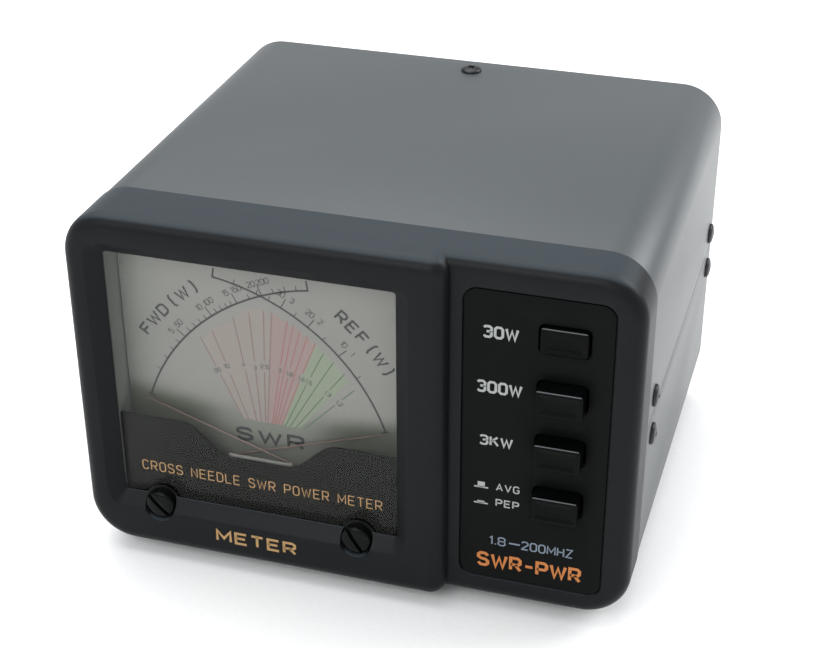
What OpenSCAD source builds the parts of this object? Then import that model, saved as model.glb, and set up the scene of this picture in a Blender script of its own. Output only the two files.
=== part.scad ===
// Desktop cross-needle SWR and power meter.
// X runs to the right, Y from the front face to the back, Z up.
// Every size below is set out with y = 0 on the front of the meter face
// and z = 0 under the case; place() then moves it all so that the origin is
// on the floor, under the middle of the whole object.

/* [Case] */
// Width of the case
case_w = 155; // [150:0.5:165]
// Height of the case without its feet
case_h = 103.7; // [103.5:0.1:110]
// Depth of the case from the meter face to the rear edge of the covers
case_d = 135; // [134:1:150]
// Radius of the four long edges of the case
corner_r = 13; // [12:0.5:14]
// Depth of the moulded front bezel
bezel_d = 19.2; // [19:0.1:19.6]
// Radius of the bezel's front edges
edge_r = 4; // [3.5:0.1:4]
// Thickness of the bezel's side walls
bezel_wall = 2.6; // [2.4:0.1:2.8]
// Thickness of the two sheet steel covers
sheet_t = 1.2; // [1:0.1:1.2]
// Height of the seam between the two covers
seam_z = 52; // [51.5:0.1:52.5]
// Height of the rubber feet under the case
foot_h = 4; // [3:0.5:6]
// Radius of the rubber feet
foot_r = 7; // [6.5:0.1:8]

/* [Meter] */
// X of the middle of the meter window
dial_x = -26.4; // [-26.6:0.1:-26.2]
// Right-hand edge of the raised meter face
step_x = 27.7; // [27.5:0.1:28]
// How far the button face lies behind the meter face
step_d = 4.76; // [4.5:0.01:5]
// Width of the window at the lens
window_w = 80.7; // [80:0.1:81]
// Lower edge of the window at the lens
window_low = 16.3; // [16:0.1:16.5]
// Upper edge of the window at the lens
window_top = 92; // [91:0.1:92.5]
// Width of the bevel round the window
bevel_w = 4; // [3.5:0.1:4.2]
// Depth of the bevel round the window
bevel_d = 3.4; // [3.3:0.1:3.5]
// Front of the dial, from the meter face
dial_y = 12.4; // [12.3:0.1:12.6]
// Distance of each needle pivot from the middle of the dial
pivot_dx = 22.8; // [22.5:0.1:23]
// Height of the needle pivots
pivot_z = 24; // [23.9:0.1:24.2]
// Length of the needles from their pivots
needle_len = 61; // [58:0.5:62]
// Angle of a needle at zero, above the level
needle_zero = 18.7; // [18:0.1:20]
// Angle that a needle turns from zero to full scale
needle_sweep = 62.4; // [60:0.1:64]

/* [Buttons] */
// X of the middle of the buttons
button_x = 57.35; // [57:0.05:57.5]
// Height of the middle of the lowest button
button_low = 35.4; // [35:0.1:36]
// Distance from one button to the next
button_pitch = 16.2; // [16:0.1:16.3]
// Width of a button cap
cap_w = 12.3; // [12:0.1:12.4]
// Height of a button cap
cap_h = 7.3; // [7:0.1:7.4]
// Length of a button cap
cap_len = 12; // [11.5:0.1:12.2]
// How far a released button stands out of its face
cap_proud = 4.5; // [4:0.1:4.7]
// Travel of a button
button_travel = 3.5; // [3:0.1:3.6]

/* [Rear] */
// Distance between the two coaxial connectors
connector_pitch = 44; // [42:1:46]
// Height of the two coaxial connectors
connector_z = 58; // [57.5:0.5:58.5]
// Radius over the thread of a coaxial connector
barrel_r = 7.94; // [7.9:0.01:8]
// Length of the threaded barrel
barrel_len = 13; // [12:0.1:14]
// Radius of the mouth of a coaxial connector
mouth_r = 6.05; // [6:0.01:6.2]
// Depth of the mouth of a coaxial connector
mouth_d = 8; // [7.5:0.1:8.5]
// Radius of the centre contact's socket
socket_r = 2; // [1.98:0.01:2.05]

/* [Hidden] */
$fn = 64;

// small distances used throughout
gap = 0.3;          // between pieces that only lie side by side
eps = 0.5;          // how far a cutter runs past the face that it opens

// case and covers
half_w = case_w / 2;
step_corner_r = 4.5;             // corner of the raised meter face at the step
button_block_x = 10;             // the button block starts inside the meter block
step_wall = 2.5;                 // thickness of the bezel at the step
button_wall = 2.6;               // thickness of the bezel behind the buttons
button_wall_y = step_d + button_wall;
tongue_in = 0.3 + sheet_t + 0.2; // the bezel's tongue fits inside the covers
tongue_t = 1.5;
tongue_d = 3;
cover_in = 0.3;                  // the covers lie just inside the bezel's outline
cover_front = bezel_d + 0.2;
tray_in = cover_in + sheet_t + gap;
tray_t = 1.2;
tray_top = 62;
tray_front = bezel_d + tongue_d + 0.4;
panel_t = 1.6;
panel_y = case_d - 2 - panel_t;  // inner face of the rear panel
panel_out = panel_y + panel_t;   // outer face of the rear panel

// overall size and origin
flange_t = 1.6;
barrel_end = panel_out + flange_t + barrel_len;
overall_d = barrel_end;

// fasteners: M2.5 pan heads inside and on the rear, wider heads on the covers
thread_r = 1.25;     // tapped or pilot hole
shank_r = 1.2;
clear_r = 1.7;       // clearance hole
head_r = 2.5;
head_h = 1.8;
cover_head_r = 3.1;
side_screw_y = [29.5, 128.5];
side_screw_upper = 57.5;
side_screw_lower = 45.5;
rear_screw_y = 127;
side_boss_x = 71.9;
side_boss_r = 2.5;
side_boss_z = [20, 54];
flange_screw_x = 71;
foot_x = 60;
foot_web = 0.4;                  // rubber under the head of each foot's screw
foot_y = [29, 121];
board_screw_x = 55;
board_screw_y = [58, 88];

// the button face lies in a shallow pocket of the bezel
plate_left = 31;
plate_right = 70.2;
plate_low = 6.8;
plate_top = 96;
plate_r = 4;
pocket_d = 1;
plate_back = step_d + pocket_d;
plate_front = step_d + 0.2;
plate_gap = 0.35;
button_gap = 0.5;                // all round each cap

// meter housing behind the lens
window_r = 1;                    // corner radius of the window
bevel_r = 3;                     // corner radius at the outside of its bevel
lens_y = bevel_d + 0.1;
lens_t = 1.8;
lens_over = 1.7;                 // how far the lens reaches behind the bezel
mask_y = lens_y + lens_t;
mask_t = 0.8;
tub_wall = 1.6;
tub_half = 42.8;
tub_low = 10.5;
tub_top = 95.2;
tub_front = mask_y + 0.1;
mask_half = tub_half - 1.9;
mask_low = 12.4;
mask_dip = 31.3;                 // top edge in the middle
mask_shoulder = 40.4;            // top edge at both sides
tub_back = 46;
dial_t = 1;
lamp_y = 36;                     // board with the three dial lamps
lamp_t = 1.4;
lamp_z = 69;
ear_y = 10;
ear_t = 2;
ear_dx = 33.5;
ear_r = 2.6;
ear_top = 98;
ear_low = 6.4;

// moving-coil movements: distances along Y from the meter face
bridge_y = 7;
bridge_t = 0.8;
rear_bridge_y = 32.6;
lever_y = 8;
lever_t = 0.7;
hub_y = 10;
hub_t = 1.6;
coil_front = 14.6;
coil_back = 31.2;
core_front = 17;
core_back = 29;
yoke_r = 11.6;
yoke_bore = 9.4;
core_r = 5.7;
post_dist = 10;                  // bridge post from the pivot
post_angle = 220;
staff_r = 0.5;
jewel_r = 0.55;                  // running clearance of 0.05 on the staff
zero_dx = 6.3;                   // zero screw from its pivot
zero_dz = -9.9;
zero_arm = sqrt(zero_dx * zero_dx + zero_dz * zero_dz);
zero_angle = atan2(zero_dz, zero_dx);
eccentric = 1.5;                 // offset of the zero screw's pin
pin_r = 0.7;
zero_head_r = 4.25;
zero_hole_r = 4.6;
zero_flange_r = 5.2;             // collar that keeps the screw behind the bezel
zero_notch_r = 5.6;              // notch for the collar in the lens
zero_shaft_r = 2;
zero_x = pivot_dx + zero_dx;     // zero screw from the middle of the dial
zero_z = pivot_z + zero_dz;

// push buttons and their switches
cap_r = 1;
stations = 4;
strip_y = 22;
strip_t = 1.2;
switch_y = strip_y + strip_t;
switch_back = 37;
strip_screw_z = [24, 95.5];
switch_half = 5.8;               // half the width of one switch body
spring_r = 3.45;                 // of the return springs, to the middle of the wire
spring_wire_r = 0.3;
range_stations = 3;              // the three range buttons share the latch bar
lug_y = 19.5;                    // the plunger's lug, from the plunger's front end
latch_in = 6.1;                  // inner side of the latch bar, from the buttons' middle
latch_t = 1;
plunger_w = 4;
socket_d = 5;
lug_w = 1.2;
latch_travel = 1.5;
function button_z(k) = button_low + (stations - 1 - k) * button_pitch;
function cap_front(k) = step_d - cap_proud + (k == 0 ? button_travel : 0);

// rear connectors
flange_half = 12.7;
flange_hole = 9.13;              // screw holes of a flange, from its middle
flange_hole_r = 1.6;
spigot_r = 7;                    // part of a connector that passes through the rear panel
insulator_r = 5.5;
contact_r = 2.9;
contact_fit = 0.05;              // clearance round the insulator and the contact
socket_depth = 12;
jack_x = 52;
jack_z = 26;
jack_r = 4;
jack_flange_r = 5.4;
jack_bore_r = 2.9;
jack_pin_r = 1.05;

// sensor and boards
can_x = 38;
can_z = [40, 76];
can_y = 98;
can_t = 0.8;
line_y = 112;
line_r = 1.6;
line_reach = 8;
board_t = 1.6;
board_z = 9;
board_top = board_z + board_t;
sensor_board_z = 47.4;
trimmer_x = 40;
trimmer_y = [64, 80];
trimmer_r = 2.2;
trimmer_floor = board_top + 1.8;

// ---------- shared shapes ----------

module place() translate([0, -overall_d / 2, foot_h]) children();

module block(x0, x1, y0, y1, z0, z1) {
  translate([x0, y0, z0]) cube([x1 - x0, y1 - y0, z1 - z0]);
}

// a front-view outline drawn as (x, z) and given thickness from y0 to y1
module along_y(y0, y1) {
  translate([0, y1, 0]) rotate([90, 0, 0]) linear_extrude(height = y1 - y0) children();
}

module rod_y(x, z, r, y0, y1) {
  translate([x, y0, z]) rotate([-90, 0, 0]) cylinder(h = y1 - y0, r = r);
}

module rod_z(x, y, r, z0, z1) {
  translate([x, y, z0]) cylinder(h = z1 - z0, r = r);
}

module rounded_outline(x0, x1, z0, z1, r) {
  translate([x0 + r, z0]) square([x1 - x0 - 2 * r, z1 - z0]);
  translate([x0, z0 + r]) square([x1 - x0, z1 - z0 - 2 * r]);
  for (x = [x0 + r, x1 - r], z = [z0 + r, z1 - r]) translate([x, z]) circle(r = r);
}

// the case's own outline, made smaller all round
module case_outline(inset) {
  rounded_outline(-half_w + inset, half_w - inset, inset, case_h - inset, corner_r - inset);
}

// ring-shaped sheet that follows the case, between two insets
module case_shell(inset, t, y0, y1) {
  difference() {
    along_y(y0, y1) case_outline(inset);
    along_y(y0 - eps, y1 + eps) case_outline(inset + t);
  }
}

// one rounded front corner of a bezel block, with the plain corner behind it
module soft_corner(x, z, r, front, back) {
  translate([x, front + edge_r, z]) rotate([-90, 0, 0]) rotate_extrude($fn = 40)
    intersection() {
      translate([r - edge_r, 0]) circle(r = edge_r, $fn = 40);
      translate([0, -edge_r]) square([r, 2 * edge_r]);
    }
  translate([x, back - 1, z]) rotate([-90, 0, 0]) cylinder(h = 1, r = r, $fn = 40);
}

module soft_block(x0, x1, r_left, r_right, front, back) {
  hull() {
    for (up = [0, 1]) {
      soft_corner(x0 + r_left, up ? case_h - r_left : r_left, r_left, front, back);
      soft_corner(x1 - r_right, up ? case_h - r_right : r_right, r_right, front, back);
    }
  }
}

// pan-head screw: head above z = 0, shank below
module machine_screw(length) {
  difference() {
    cylinder(h = head_h, r = head_r);
    cross_recess(head_h);
  }
  translate([0, 0, -length]) cylinder(h = length, r = shank_r);
}

module cover_screw(length) {
  difference() {
    union() {
      cylinder(h = 0.7, r = cover_head_r);
      translate([0, 0, 0.7]) cylinder(h = 0.6, r1 = cover_head_r, r2 = 2.3);
    }
    cross_recess(1.3);
  }
  translate([0, 0, -length]) cylinder(h = length, r = shank_r);
}

module cross_recess(top) {
  for (turn = [0, 90]) rotate([0, 0, turn])
    translate([-1.7, -0.45, top - 0.8]) cube([3.4, 0.9, 0.8 + eps]);
}

// ---------- front ----------

module window_cut() {
  left = dial_x - window_w / 2;
  right = dial_x + window_w / 2;
  hull() {
    along_y(-eps, 0)
      rounded_outline(left - bevel_w, right + bevel_w, window_low - bevel_w,
                      window_top + bevel_w, bevel_r);
    along_y(bevel_d, bevel_d + eps)
      rounded_outline(left, right, window_low, window_top, window_r);
  }
}

module button_holes(y0, y1) {
  for (k = [0:stations - 1])
    along_y(y0, y1)
      translate([button_x, button_z(k)])
        rounded_outline(-cap_w / 2 - button_gap, cap_w / 2 + button_gap,
                        -cap_h / 2 - button_gap, cap_h / 2 + button_gap, cap_r + button_gap);
}

module plate_outline(inset) {
  rounded_outline(plate_left + inset, plate_right - inset, plate_low + inset,
                  plate_top - inset, plate_r - inset);
}

module front_bezel() color([0.10, 0.105, 0.11]) place() difference() {
  union() {
    difference() {
      union() {
        soft_block(-half_w, step_x, corner_r, step_corner_r, 0, bezel_d);
        soft_block(button_block_x, half_w, step_corner_r, corner_r, step_d, bezel_d);
      }
      along_y(button_wall_y, bezel_d + eps) case_outline(bezel_wall);
      along_y(bevel_d, button_wall_y + eps)
        rounded_outline(-half_w + bezel_wall, step_x - step_wall, bezel_wall,
                        case_h - bezel_wall, 8);
    }
    case_shell(tongue_in, tongue_t, bezel_d - 2.2, bezel_d + tongue_d);
    for (x = [-side_boss_x, side_boss_x], z = side_boss_z)
      rod_y(x, z, side_boss_r, x > 0 ? button_wall_y - 1 : bevel_d, bezel_d + tongue_d + 0.1);
    for (x = [dial_x - ear_dx, dial_x + ear_dx], z = [ear_low, ear_top])
      rod_y(x, z, ear_r, bevel_d - 0.4, ear_y);
    for (z = strip_screw_z)
      rod_y(button_x, z, 3, button_wall_y - 0.4, strip_y);
  }
  window_cut();
  for (side = [-1, 1])
    rod_y(dial_x + side * zero_x, zero_z, zero_hole_r, -eps, bevel_d + eps);
  along_y(step_d - eps, plate_back) plate_outline(0);
  button_holes(step_d, button_wall_y + eps);
  for (x = [-side_boss_x, side_boss_x], z = side_boss_z)
    rod_y(x, z, thread_r, 13.5, bezel_d + tongue_d + eps);
  for (x = [dial_x - ear_dx, dial_x + ear_dx], z = [ear_low, ear_top])
    rod_y(x, z, thread_r, 4.6, ear_y + eps);
  for (z = strip_screw_z)
    rod_y(button_x, z, thread_r, 13.8, strip_y + eps);
}

module control_plate() color([0.13, 0.135, 0.14]) place() difference() {
  along_y(plate_front, plate_back) plate_outline(plate_gap);
  button_holes(step_d, plate_back + eps);
}

module meter_lens() color([0.8, 0.85, 0.85, 0.35]) place() difference() {
  along_y(lens_y, lens_y + lens_t)
    rounded_outline(dial_x - window_w / 2 - lens_over, dial_x + window_w / 2 + lens_over,
                    window_low - lens_over, window_top + lens_over, 1.5);
  for (side = [-1, 1])
    rod_y(dial_x + side * zero_x, zero_z, zero_notch_r, lens_y - eps, lens_y + lens_t + eps);
}

// black mask over the movements, with a dip in the middle of its top edge
module meter_mask() color([0.05, 0.05, 0.055]) place() difference() {
  along_y(mask_y, mask_y + mask_t) translate([dial_x, 0]) polygon([
    [-mask_half, mask_low], [-mask_half, mask_shoulder], [-23, mask_shoulder], [-20, 38.6],
    [-12, 32.2], [-9, mask_dip], [9, mask_dip], [12, 32.2], [20, 38.6], [23, mask_shoulder],
    [mask_half, mask_shoulder], [mask_half, mask_low]
  ]);
  for (side = [-1, 1])
    rod_y(dial_x + side * zero_x, zero_z, zero_shaft_r + 0.4, mask_y - eps, mask_y + mask_t + eps);
}

module dial_plate() color([0.80, 0.81, 0.80]) place() difference() {
  along_y(dial_y, dial_y + dial_t)
    rounded_outline(dial_x - tub_half + 2, dial_x + tub_half - 2, 17, tub_top - 2, 1.5);
  for (side = [-1, 1]) translate([dial_x + side * pivot_dx, 0, pivot_z]) mirror([side < 0 ? 1 : 0, 0, 0]) {
    rod_y(0, 0, 6.5, dial_y - eps, dial_y + dial_t + eps);
    rod_y(post_dist * cos(post_angle), post_dist * sin(post_angle), 1.8,
          dial_y - eps, dial_y + dial_t + eps);
  }
}

module meter_housing() color([0.09, 0.09, 0.10]) place() difference() {
  union() {
    difference() {
      along_y(tub_front, tub_back)
        rounded_outline(dial_x - tub_half, dial_x + tub_half, tub_low, tub_top, 2.5);
      along_y(tub_front - eps, tub_back - 2)
        rounded_outline(dial_x - tub_half + tub_wall, dial_x + tub_half - tub_wall,
                        tub_low + tub_wall, tub_top - tub_wall, 1);
    }
    // ledges that the dial is fixed against
    for (side = [-1, 1])
      block(dial_x + side * (tub_half - 2.6) - 1.4, dial_x + side * (tub_half - 2.6) + 1.4,
            dial_y + dial_t, dial_y + dial_t + 2, 40, 88);
    // posts that carry the movements and the lamp board
    for (side = [-1, 1]) translate([dial_x + side * pivot_dx, 0, pivot_z])
      mirror([side < 0 ? 1 : 0, 0, 0])
        for (a = [-30, 90, 150]) rod_y(10.5 * cos(a), 10.5 * sin(a), 1, core_back, tub_back - 1);
    for (side = [-1, 1])
      rod_y(dial_x + side * 24, lamp_z, 2, lamp_y + lamp_t, tub_back - 1);
    // fixing ears
    for (x = [dial_x - ear_dx, dial_x + ear_dx]) {
      block(x - 3, x + 3, ear_y, ear_y + ear_t, tub_top - 0.5, ear_top + 2.7);
      block(x - 3, x + 3, ear_y, ear_y + ear_t, ear_low - 2.9, tub_low + 0.5);
    }
  }
  for (x = [dial_x - ear_dx, dial_x + ear_dx], z = [ear_low, ear_top])
    rod_y(x, z, clear_r, ear_y - eps, ear_y + ear_t + eps);
}

module lamp_board() color([0.15, 0.40, 0.22]) place() {
  block(dial_x - 29, dial_x + 29, lamp_y, lamp_y + lamp_t, lamp_z - 7, lamp_z + 7);
  for (i = [-1:1]) rod_y(dial_x + i * 22, lamp_z, 2.5, lamp_y - 5.5, lamp_y);
}

// ---------- moving-coil movements ----------
// Drawn about the pivot for the forward movement; the reflected one mirrors it.

module movement(side) {
  place() translate([dial_x + side * pivot_dx, 0, pivot_z]) mirror([side < 0 ? 1 : 0, 0, 0]) children();
}

// turns a shape drawn along +X to point at the given angle above +X
module point_at(angle) rotate([0, -angle, 0]) children();

module yoke() {
  px = post_dist * cos(post_angle);
  pz = post_dist * sin(post_angle);
  difference() {
    rod_y(0, 0, yoke_r, core_front, core_back);
    rod_y(0, 0, yoke_bore, core_front - eps, core_back + eps);
  }
  rod_y(px, pz, 1.2, bridge_y, core_front + 0.5);
  rod_y(px, pz, 1.2, core_back - 0.5, rear_bridge_y + bridge_t);
  point_at(post_angle) block(0, post_dist, bridge_y, bridge_y + bridge_t, -1.5, 1.5);
  point_at(post_angle) block(0, post_dist, rear_bridge_y, rear_bridge_y + bridge_t, -1.2, 1.2);
  difference() {
    rod_y(0, 0, 2, bridge_y, lever_y + 1);
    rod_y(0, 0, jewel_r, lever_y + 0.2, lever_y + 1 + eps);
  }
  difference() {
    rod_y(0, 0, 1.6, rear_bridge_y - 0.7, rear_bridge_y + bridge_t);
    rod_y(0, 0, jewel_r, rear_bridge_y - 0.7 - eps, rear_bridge_y);
  }
  mid = 180 - needle_zero - needle_sweep / 2;
  for (a = [mid, mid + 180])
    point_at(a) block(core_r + 0.05, yoke_bore + 0.3, 19, 27, -1.5, 1.5);
}

module core() rod_y(0, 0, core_r, core_front, core_back);

module coil() {
  point_at(90 - needle_zero) difference() {
    block(-8.4, 8.4, coil_front, coil_back, -1.5, 1.5);
    block(-6.7, 6.7, coil_front + 1.4, coil_back - 1.4, -2, 2);
  }
  rod_y(0, 0, staff_r, coil_back - 0.2, rear_bridge_y - 0.2);
}

module needle(blade_y) {
  rod_y(0, 0, staff_r, lever_y + 0.3, coil_front);
  rod_y(0, 0, 1, 9.2, 9.8);
  rod_y(0, 0, 1.6, hub_y, hub_y + hub_t);
  point_at(180 - needle_zero) {
    along_y(blade_y, blade_y + 0.3)
      polygon([[-10, -0.6], [0, -0.8], [needle_len, -0.18], [needle_len, 0.18], [0, 0.8], [-10, 0.6]]);
    rod_y(-8.6, 0, 2.9, hub_y + 0.1, hub_y + hub_t - 0.1);
  }
}

module hairspring() {
  turns = 3;
  steps = 72;
  width = 0.16;
  function spiral_r(i) = 1.25 + (4.3 - 1.25) * i / steps;
  function spiral_a(i) = 180 + zero_angle - turns * 360 * (1 - i / steps);
  along_y(9.3, 9.7) polygon(concat(
    [for (i = [0:steps]) spiral_r(i) * [cos(spiral_a(i)), sin(spiral_a(i))]],
    [for (i = [steps:-1:0]) (spiral_r(i) + width) * [cos(spiral_a(i)), sin(spiral_a(i))]]
  ));
}

module zero_lever() {
  reach = zero_arm - eccentric;
  difference() {
    union() {
      rod_y(0, 0, 3.6, lever_y, lever_y + lever_t);
      point_at(zero_angle) block(2.2, reach + 2.2, lever_y, lever_y + lever_t, -2.1, 2.1);
      point_at(zero_angle + 180) block(2.2, 5.6, lever_y, lever_y + lever_t, -0.7, 0.7);
    }
    rod_y(0, 0, 2.05, lever_y - eps, lever_y + lever_t + eps);
    point_at(zero_angle)
      block(reach - 1.3, reach + 3, lever_y - eps, lever_y + lever_t + eps, -pin_r - 0.15, pin_r + 0.15);
  }
  // stud that holds the outer end of the hairspring
  point_at(zero_angle + 180) rod_y(5, 0, 0.45, lever_y + lever_t - 0.1, 9.8);
}

// drawn about its own axis
module zero_screw(slot_angle) {
  difference() {
    union() {
      rod_y(0, 0, zero_head_r, 1.2, bevel_d);
      translate([0, 0.3, 0]) rotate([-90, 0, 0]) cylinder(h = 0.9, r1 = 3.5, r2 = zero_head_r);
    }
    point_at(slot_angle) block(-6, 6, -1, 1.5, -0.6, 0.6);
  }
  rod_y(0, 0, zero_flange_r, bevel_d + 0.1, bevel_d + 1);
  rod_y(0, 0, zero_shaft_r, bevel_d - 0.4, 7.7);
  point_at(180 + zero_angle) rod_y(eccentric, 0, pin_r, 7.2, 8.9);
}

module fwd_yoke() color([0.55, 0.56, 0.58]) movement(1) yoke();
module fwd_core() color([0.35, 0.35, 0.37]) movement(1) core();
module fwd_coil() color([0.72, 0.45, 0.20]) movement(1) coil();
module fwd_needle() color([0.60, 0.10, 0.08]) movement(1) needle(10.2);
module fwd_hairspring() color([0.75, 0.62, 0.30]) movement(1) hairspring();
module fwd_zero_lever() color([0.70, 0.58, 0.30]) movement(1) zero_lever();
module fwd_zero_screw() color([0.04, 0.04, 0.045]) movement(1)
  translate([zero_dx, 0, zero_dz]) zero_screw(135);
module ref_yoke() color([0.55, 0.56, 0.58]) movement(-1) yoke();
module ref_core() color([0.35, 0.35, 0.37]) movement(-1) core();
module ref_coil() color([0.72, 0.45, 0.20]) movement(-1) coil();
module ref_needle() color([0.60, 0.10, 0.08]) movement(-1) needle(11.1);
module ref_hairspring() color([0.75, 0.62, 0.30]) movement(-1) hairspring();
module ref_zero_lever() color([0.70, 0.58, 0.30]) movement(-1) zero_lever();
module ref_zero_screw() color([0.04, 0.04, 0.045]) movement(-1)
  translate([zero_dx, 0, zero_dz]) zero_screw(135);

// ---------- push buttons ----------
// Station 0 is the top one, and it is the one that is pressed in.

module button_cap(k) color([0.07, 0.07, 0.075]) place() difference() {
  front = cap_front(k);
  along_y(front, front + cap_len) translate([button_x, button_z(k)])
    rounded_outline(-cap_w / 2, cap_w / 2, -cap_h / 2, cap_h / 2, cap_r);
  along_y(front - eps, front + 0.5) translate([button_x, button_z(k)])
    rounded_outline(-cap_w / 2 + 1.1, cap_w / 2 - 1.1, -cap_h / 2 + 1.1, cap_h / 2 - 1.1, 0.6);
  block(button_x - 2.05, button_x + 2.05, front + cap_len - socket_d, front + cap_len + eps,
        button_z(k) - 2.05, button_z(k) + 2.05);
}

module plunger(k) color([0.85, 0.84, 0.80]) place() {
  start = cap_front(k) + cap_len - socket_d;
  block(button_x - plunger_w / 2, button_x + plunger_w / 2, start, start + 23,
        button_z(k) - plunger_w / 2, button_z(k) + plunger_w / 2);
  // lug that the latch bar holds, on the three range stations only
  if (k < range_stations)
    block(button_x + 1.5, button_x + latch_in + 0.85, start + lug_y, start + lug_y + lug_w,
          button_z(k) - lug_w / 2, button_z(k) + lug_w / 2);
}

module return_spring(k) color([0.65, 0.66, 0.68]) place()
  translate([button_x, 0, button_z(k)])
    coil_spring(cap_front(k) + cap_len + 0.05, strip_y - 0.05, spring_r, spring_wire_r, 5);

// round wire wound about the Y axis from y0 to y1
module coil_spring(y0, y1, mean_r, wire_r, turns) {
  sides = 6;
  rings = turns * 12;
  rise = y1 - y0 - 2 * wire_r;
  points = [
    for (i = [0:rings], j = [0:sides - 1])
      let (a = 360 * turns * i / rings, b = 360 * j / sides, r = mean_r + wire_r * cos(b))
        [r * cos(a), y0 + wire_r + rise * i / rings + wire_r * sin(b), r * sin(a)]
  ];
  walls = [
    for (i = [0:rings - 1], j = [0:sides - 1])
      let (n = (j + 1) % sides, here = i * sides, next = here + sides)
        [here + j, next + j, next + n, here + n]
  ];
  first = [for (j = [0:sides - 1]) j];
  last = [for (j = [sides - 1:-1:0]) rings * sides + j];
  polyhedron(points = points, faces = concat(walls, [first, last]), convexity = 8);
}

module button_30w() button_cap(0);
module button_300w() button_cap(1);
module button_3kw() button_cap(2);
module button_avg_pep() button_cap(3);
module plunger_30w() plunger(0);
module plunger_300w() plunger(1);
module plunger_3kw() plunger(2);
module plunger_avg_pep() plunger(3);
module spring_30w() return_spring(0);
module spring_300w() return_spring(1);
module spring_3kw() return_spring(2);
module spring_avg_pep() return_spring(3);

// four switch bodies behind one steel strip
module switch_bank() color([0.30, 0.32, 0.36]) place() difference() {
  union() {
    block(button_x - switch_half - 1, button_x + switch_half, strip_y, switch_y, 20.5, 99);
    for (k = [0:stations - 1])
      block(button_x - switch_half, button_x + switch_half, switch_y - 0.2, switch_back,
            button_z(k) - 6, button_z(k) + 6);
  }
  for (k = [0:stations - 1]) {
    block(button_x - 2.3, button_x + 2.3, strip_y - eps, switch_back - 1.5,
          button_z(k) - 2.3, button_z(k) + 2.3);
    if (k < range_stations)
      block(button_x, button_x + 7, 26.2, 32.1, button_z(k) - 0.9, button_z(k) + 0.9);
  }
  for (z = strip_screw_z) rod_y(button_x, z, clear_r, strip_y - eps, switch_y + eps);
}

module switch_board() color([0.15, 0.40, 0.22]) place()
  block(42, 72, switch_back, switch_back + board_t, 27, 92);

// sliding bar that keeps one range plunger in until another is pressed
module latch_bar() color([0.65, 0.66, 0.68]) place() difference() {
  block(button_x + latch_in, button_x + latch_in + latch_t, 25, 33.4, 44, 91.5);
  // windows that let the bar slide up by its travel over each lug
  for (k = [0:range_stations - 1])
    block(button_x + latch_in - eps, button_x + latch_in + latch_t + eps, 26, 32.3,
          button_z(k) - 0.9 - latch_travel, button_z(k) + 0.9);
}

// ---------- covers, chassis and feet ----------

module upper_cover() color([0.23, 0.24, 0.25]) place() difference() {
  case_shell(cover_in, sheet_t, cover_front, case_d);
  block(-half_w, half_w, 0, case_d + 1, -1, seam_z + gap / 2);
  for (y = side_screw_y) translate([-half_w, y, side_screw_upper]) rotate([0, 90, 0])
    cylinder(h = case_w, r = clear_r);
  rod_z(0, rear_screw_y, clear_r, case_h - 3, case_h + 1);
}

module lower_cover() color([0.23, 0.24, 0.25]) place() difference() {
  case_shell(cover_in, sheet_t, cover_front, case_d);
  block(-half_w, half_w, 0, case_d + 1, seam_z - gap / 2, case_h + 1);
  for (y = side_screw_y) translate([-half_w, y, side_screw_lower]) rotate([0, 90, 0])
    cylinder(h = case_w, r = clear_r);
  rod_z(0, rear_screw_y, clear_r, -1, 3);
  for (x = [-foot_x, foot_x], y = foot_y) rod_z(x, y, clear_r, -1, 3);
}

// tray of folded steel with turned-in flanges at both ends
module chassis_tray() color([0.62, 0.63, 0.62]) place() difference() {
  union() {
    difference() {
      case_shell(tray_in, tray_t, tray_front, panel_y - 0.2);
      block(-half_w, half_w, 0, case_d, tray_top, case_h + 1);
    }
    for (side = [-1, 1]) {
      flange_in = side * (half_w - tray_in - tray_t / 2);
      for (end = [[tray_front, 5.4], [panel_y - 0.2 - tray_t, 9]])
        block(min(flange_in, flange_in - side * end[1]), max(flange_in, flange_in - side * end[1]),
              end[0], end[0] + tray_t, 14, tray_top - 1);
    }
    for (x = [-board_screw_x, board_screw_x], y = board_screw_y)
      rod_z(x, y, 3, tray_in + tray_t - 0.3, board_z);
  }
  for (x = [-side_boss_x, side_boss_x], z = side_boss_z)
    rod_y(x, z, clear_r, tray_front - eps, tray_front + tray_t + eps);
  for (x = [-flange_screw_x, flange_screw_x], z = side_boss_z)
    rod_y(x, z, thread_r, panel_y - 3, panel_y + eps);
  for (y = side_screw_y, z = [side_screw_upper, side_screw_lower])
    translate([-half_w, y, z]) rotate([0, 90, 0]) cylinder(h = case_w, r = thread_r);
  for (x = [-board_screw_x, board_screw_x], y = board_screw_y)
    rod_z(x, y, thread_r, 4, board_z + eps);
  for (x = [-foot_x, foot_x], y = foot_y) rod_z(x, y, thread_r, 0, 4.5);
  // clearance for the rear panel's lower tab
  block(-9, 9, panel_y - 12, panel_y + 1, 0, 4);
}

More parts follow.
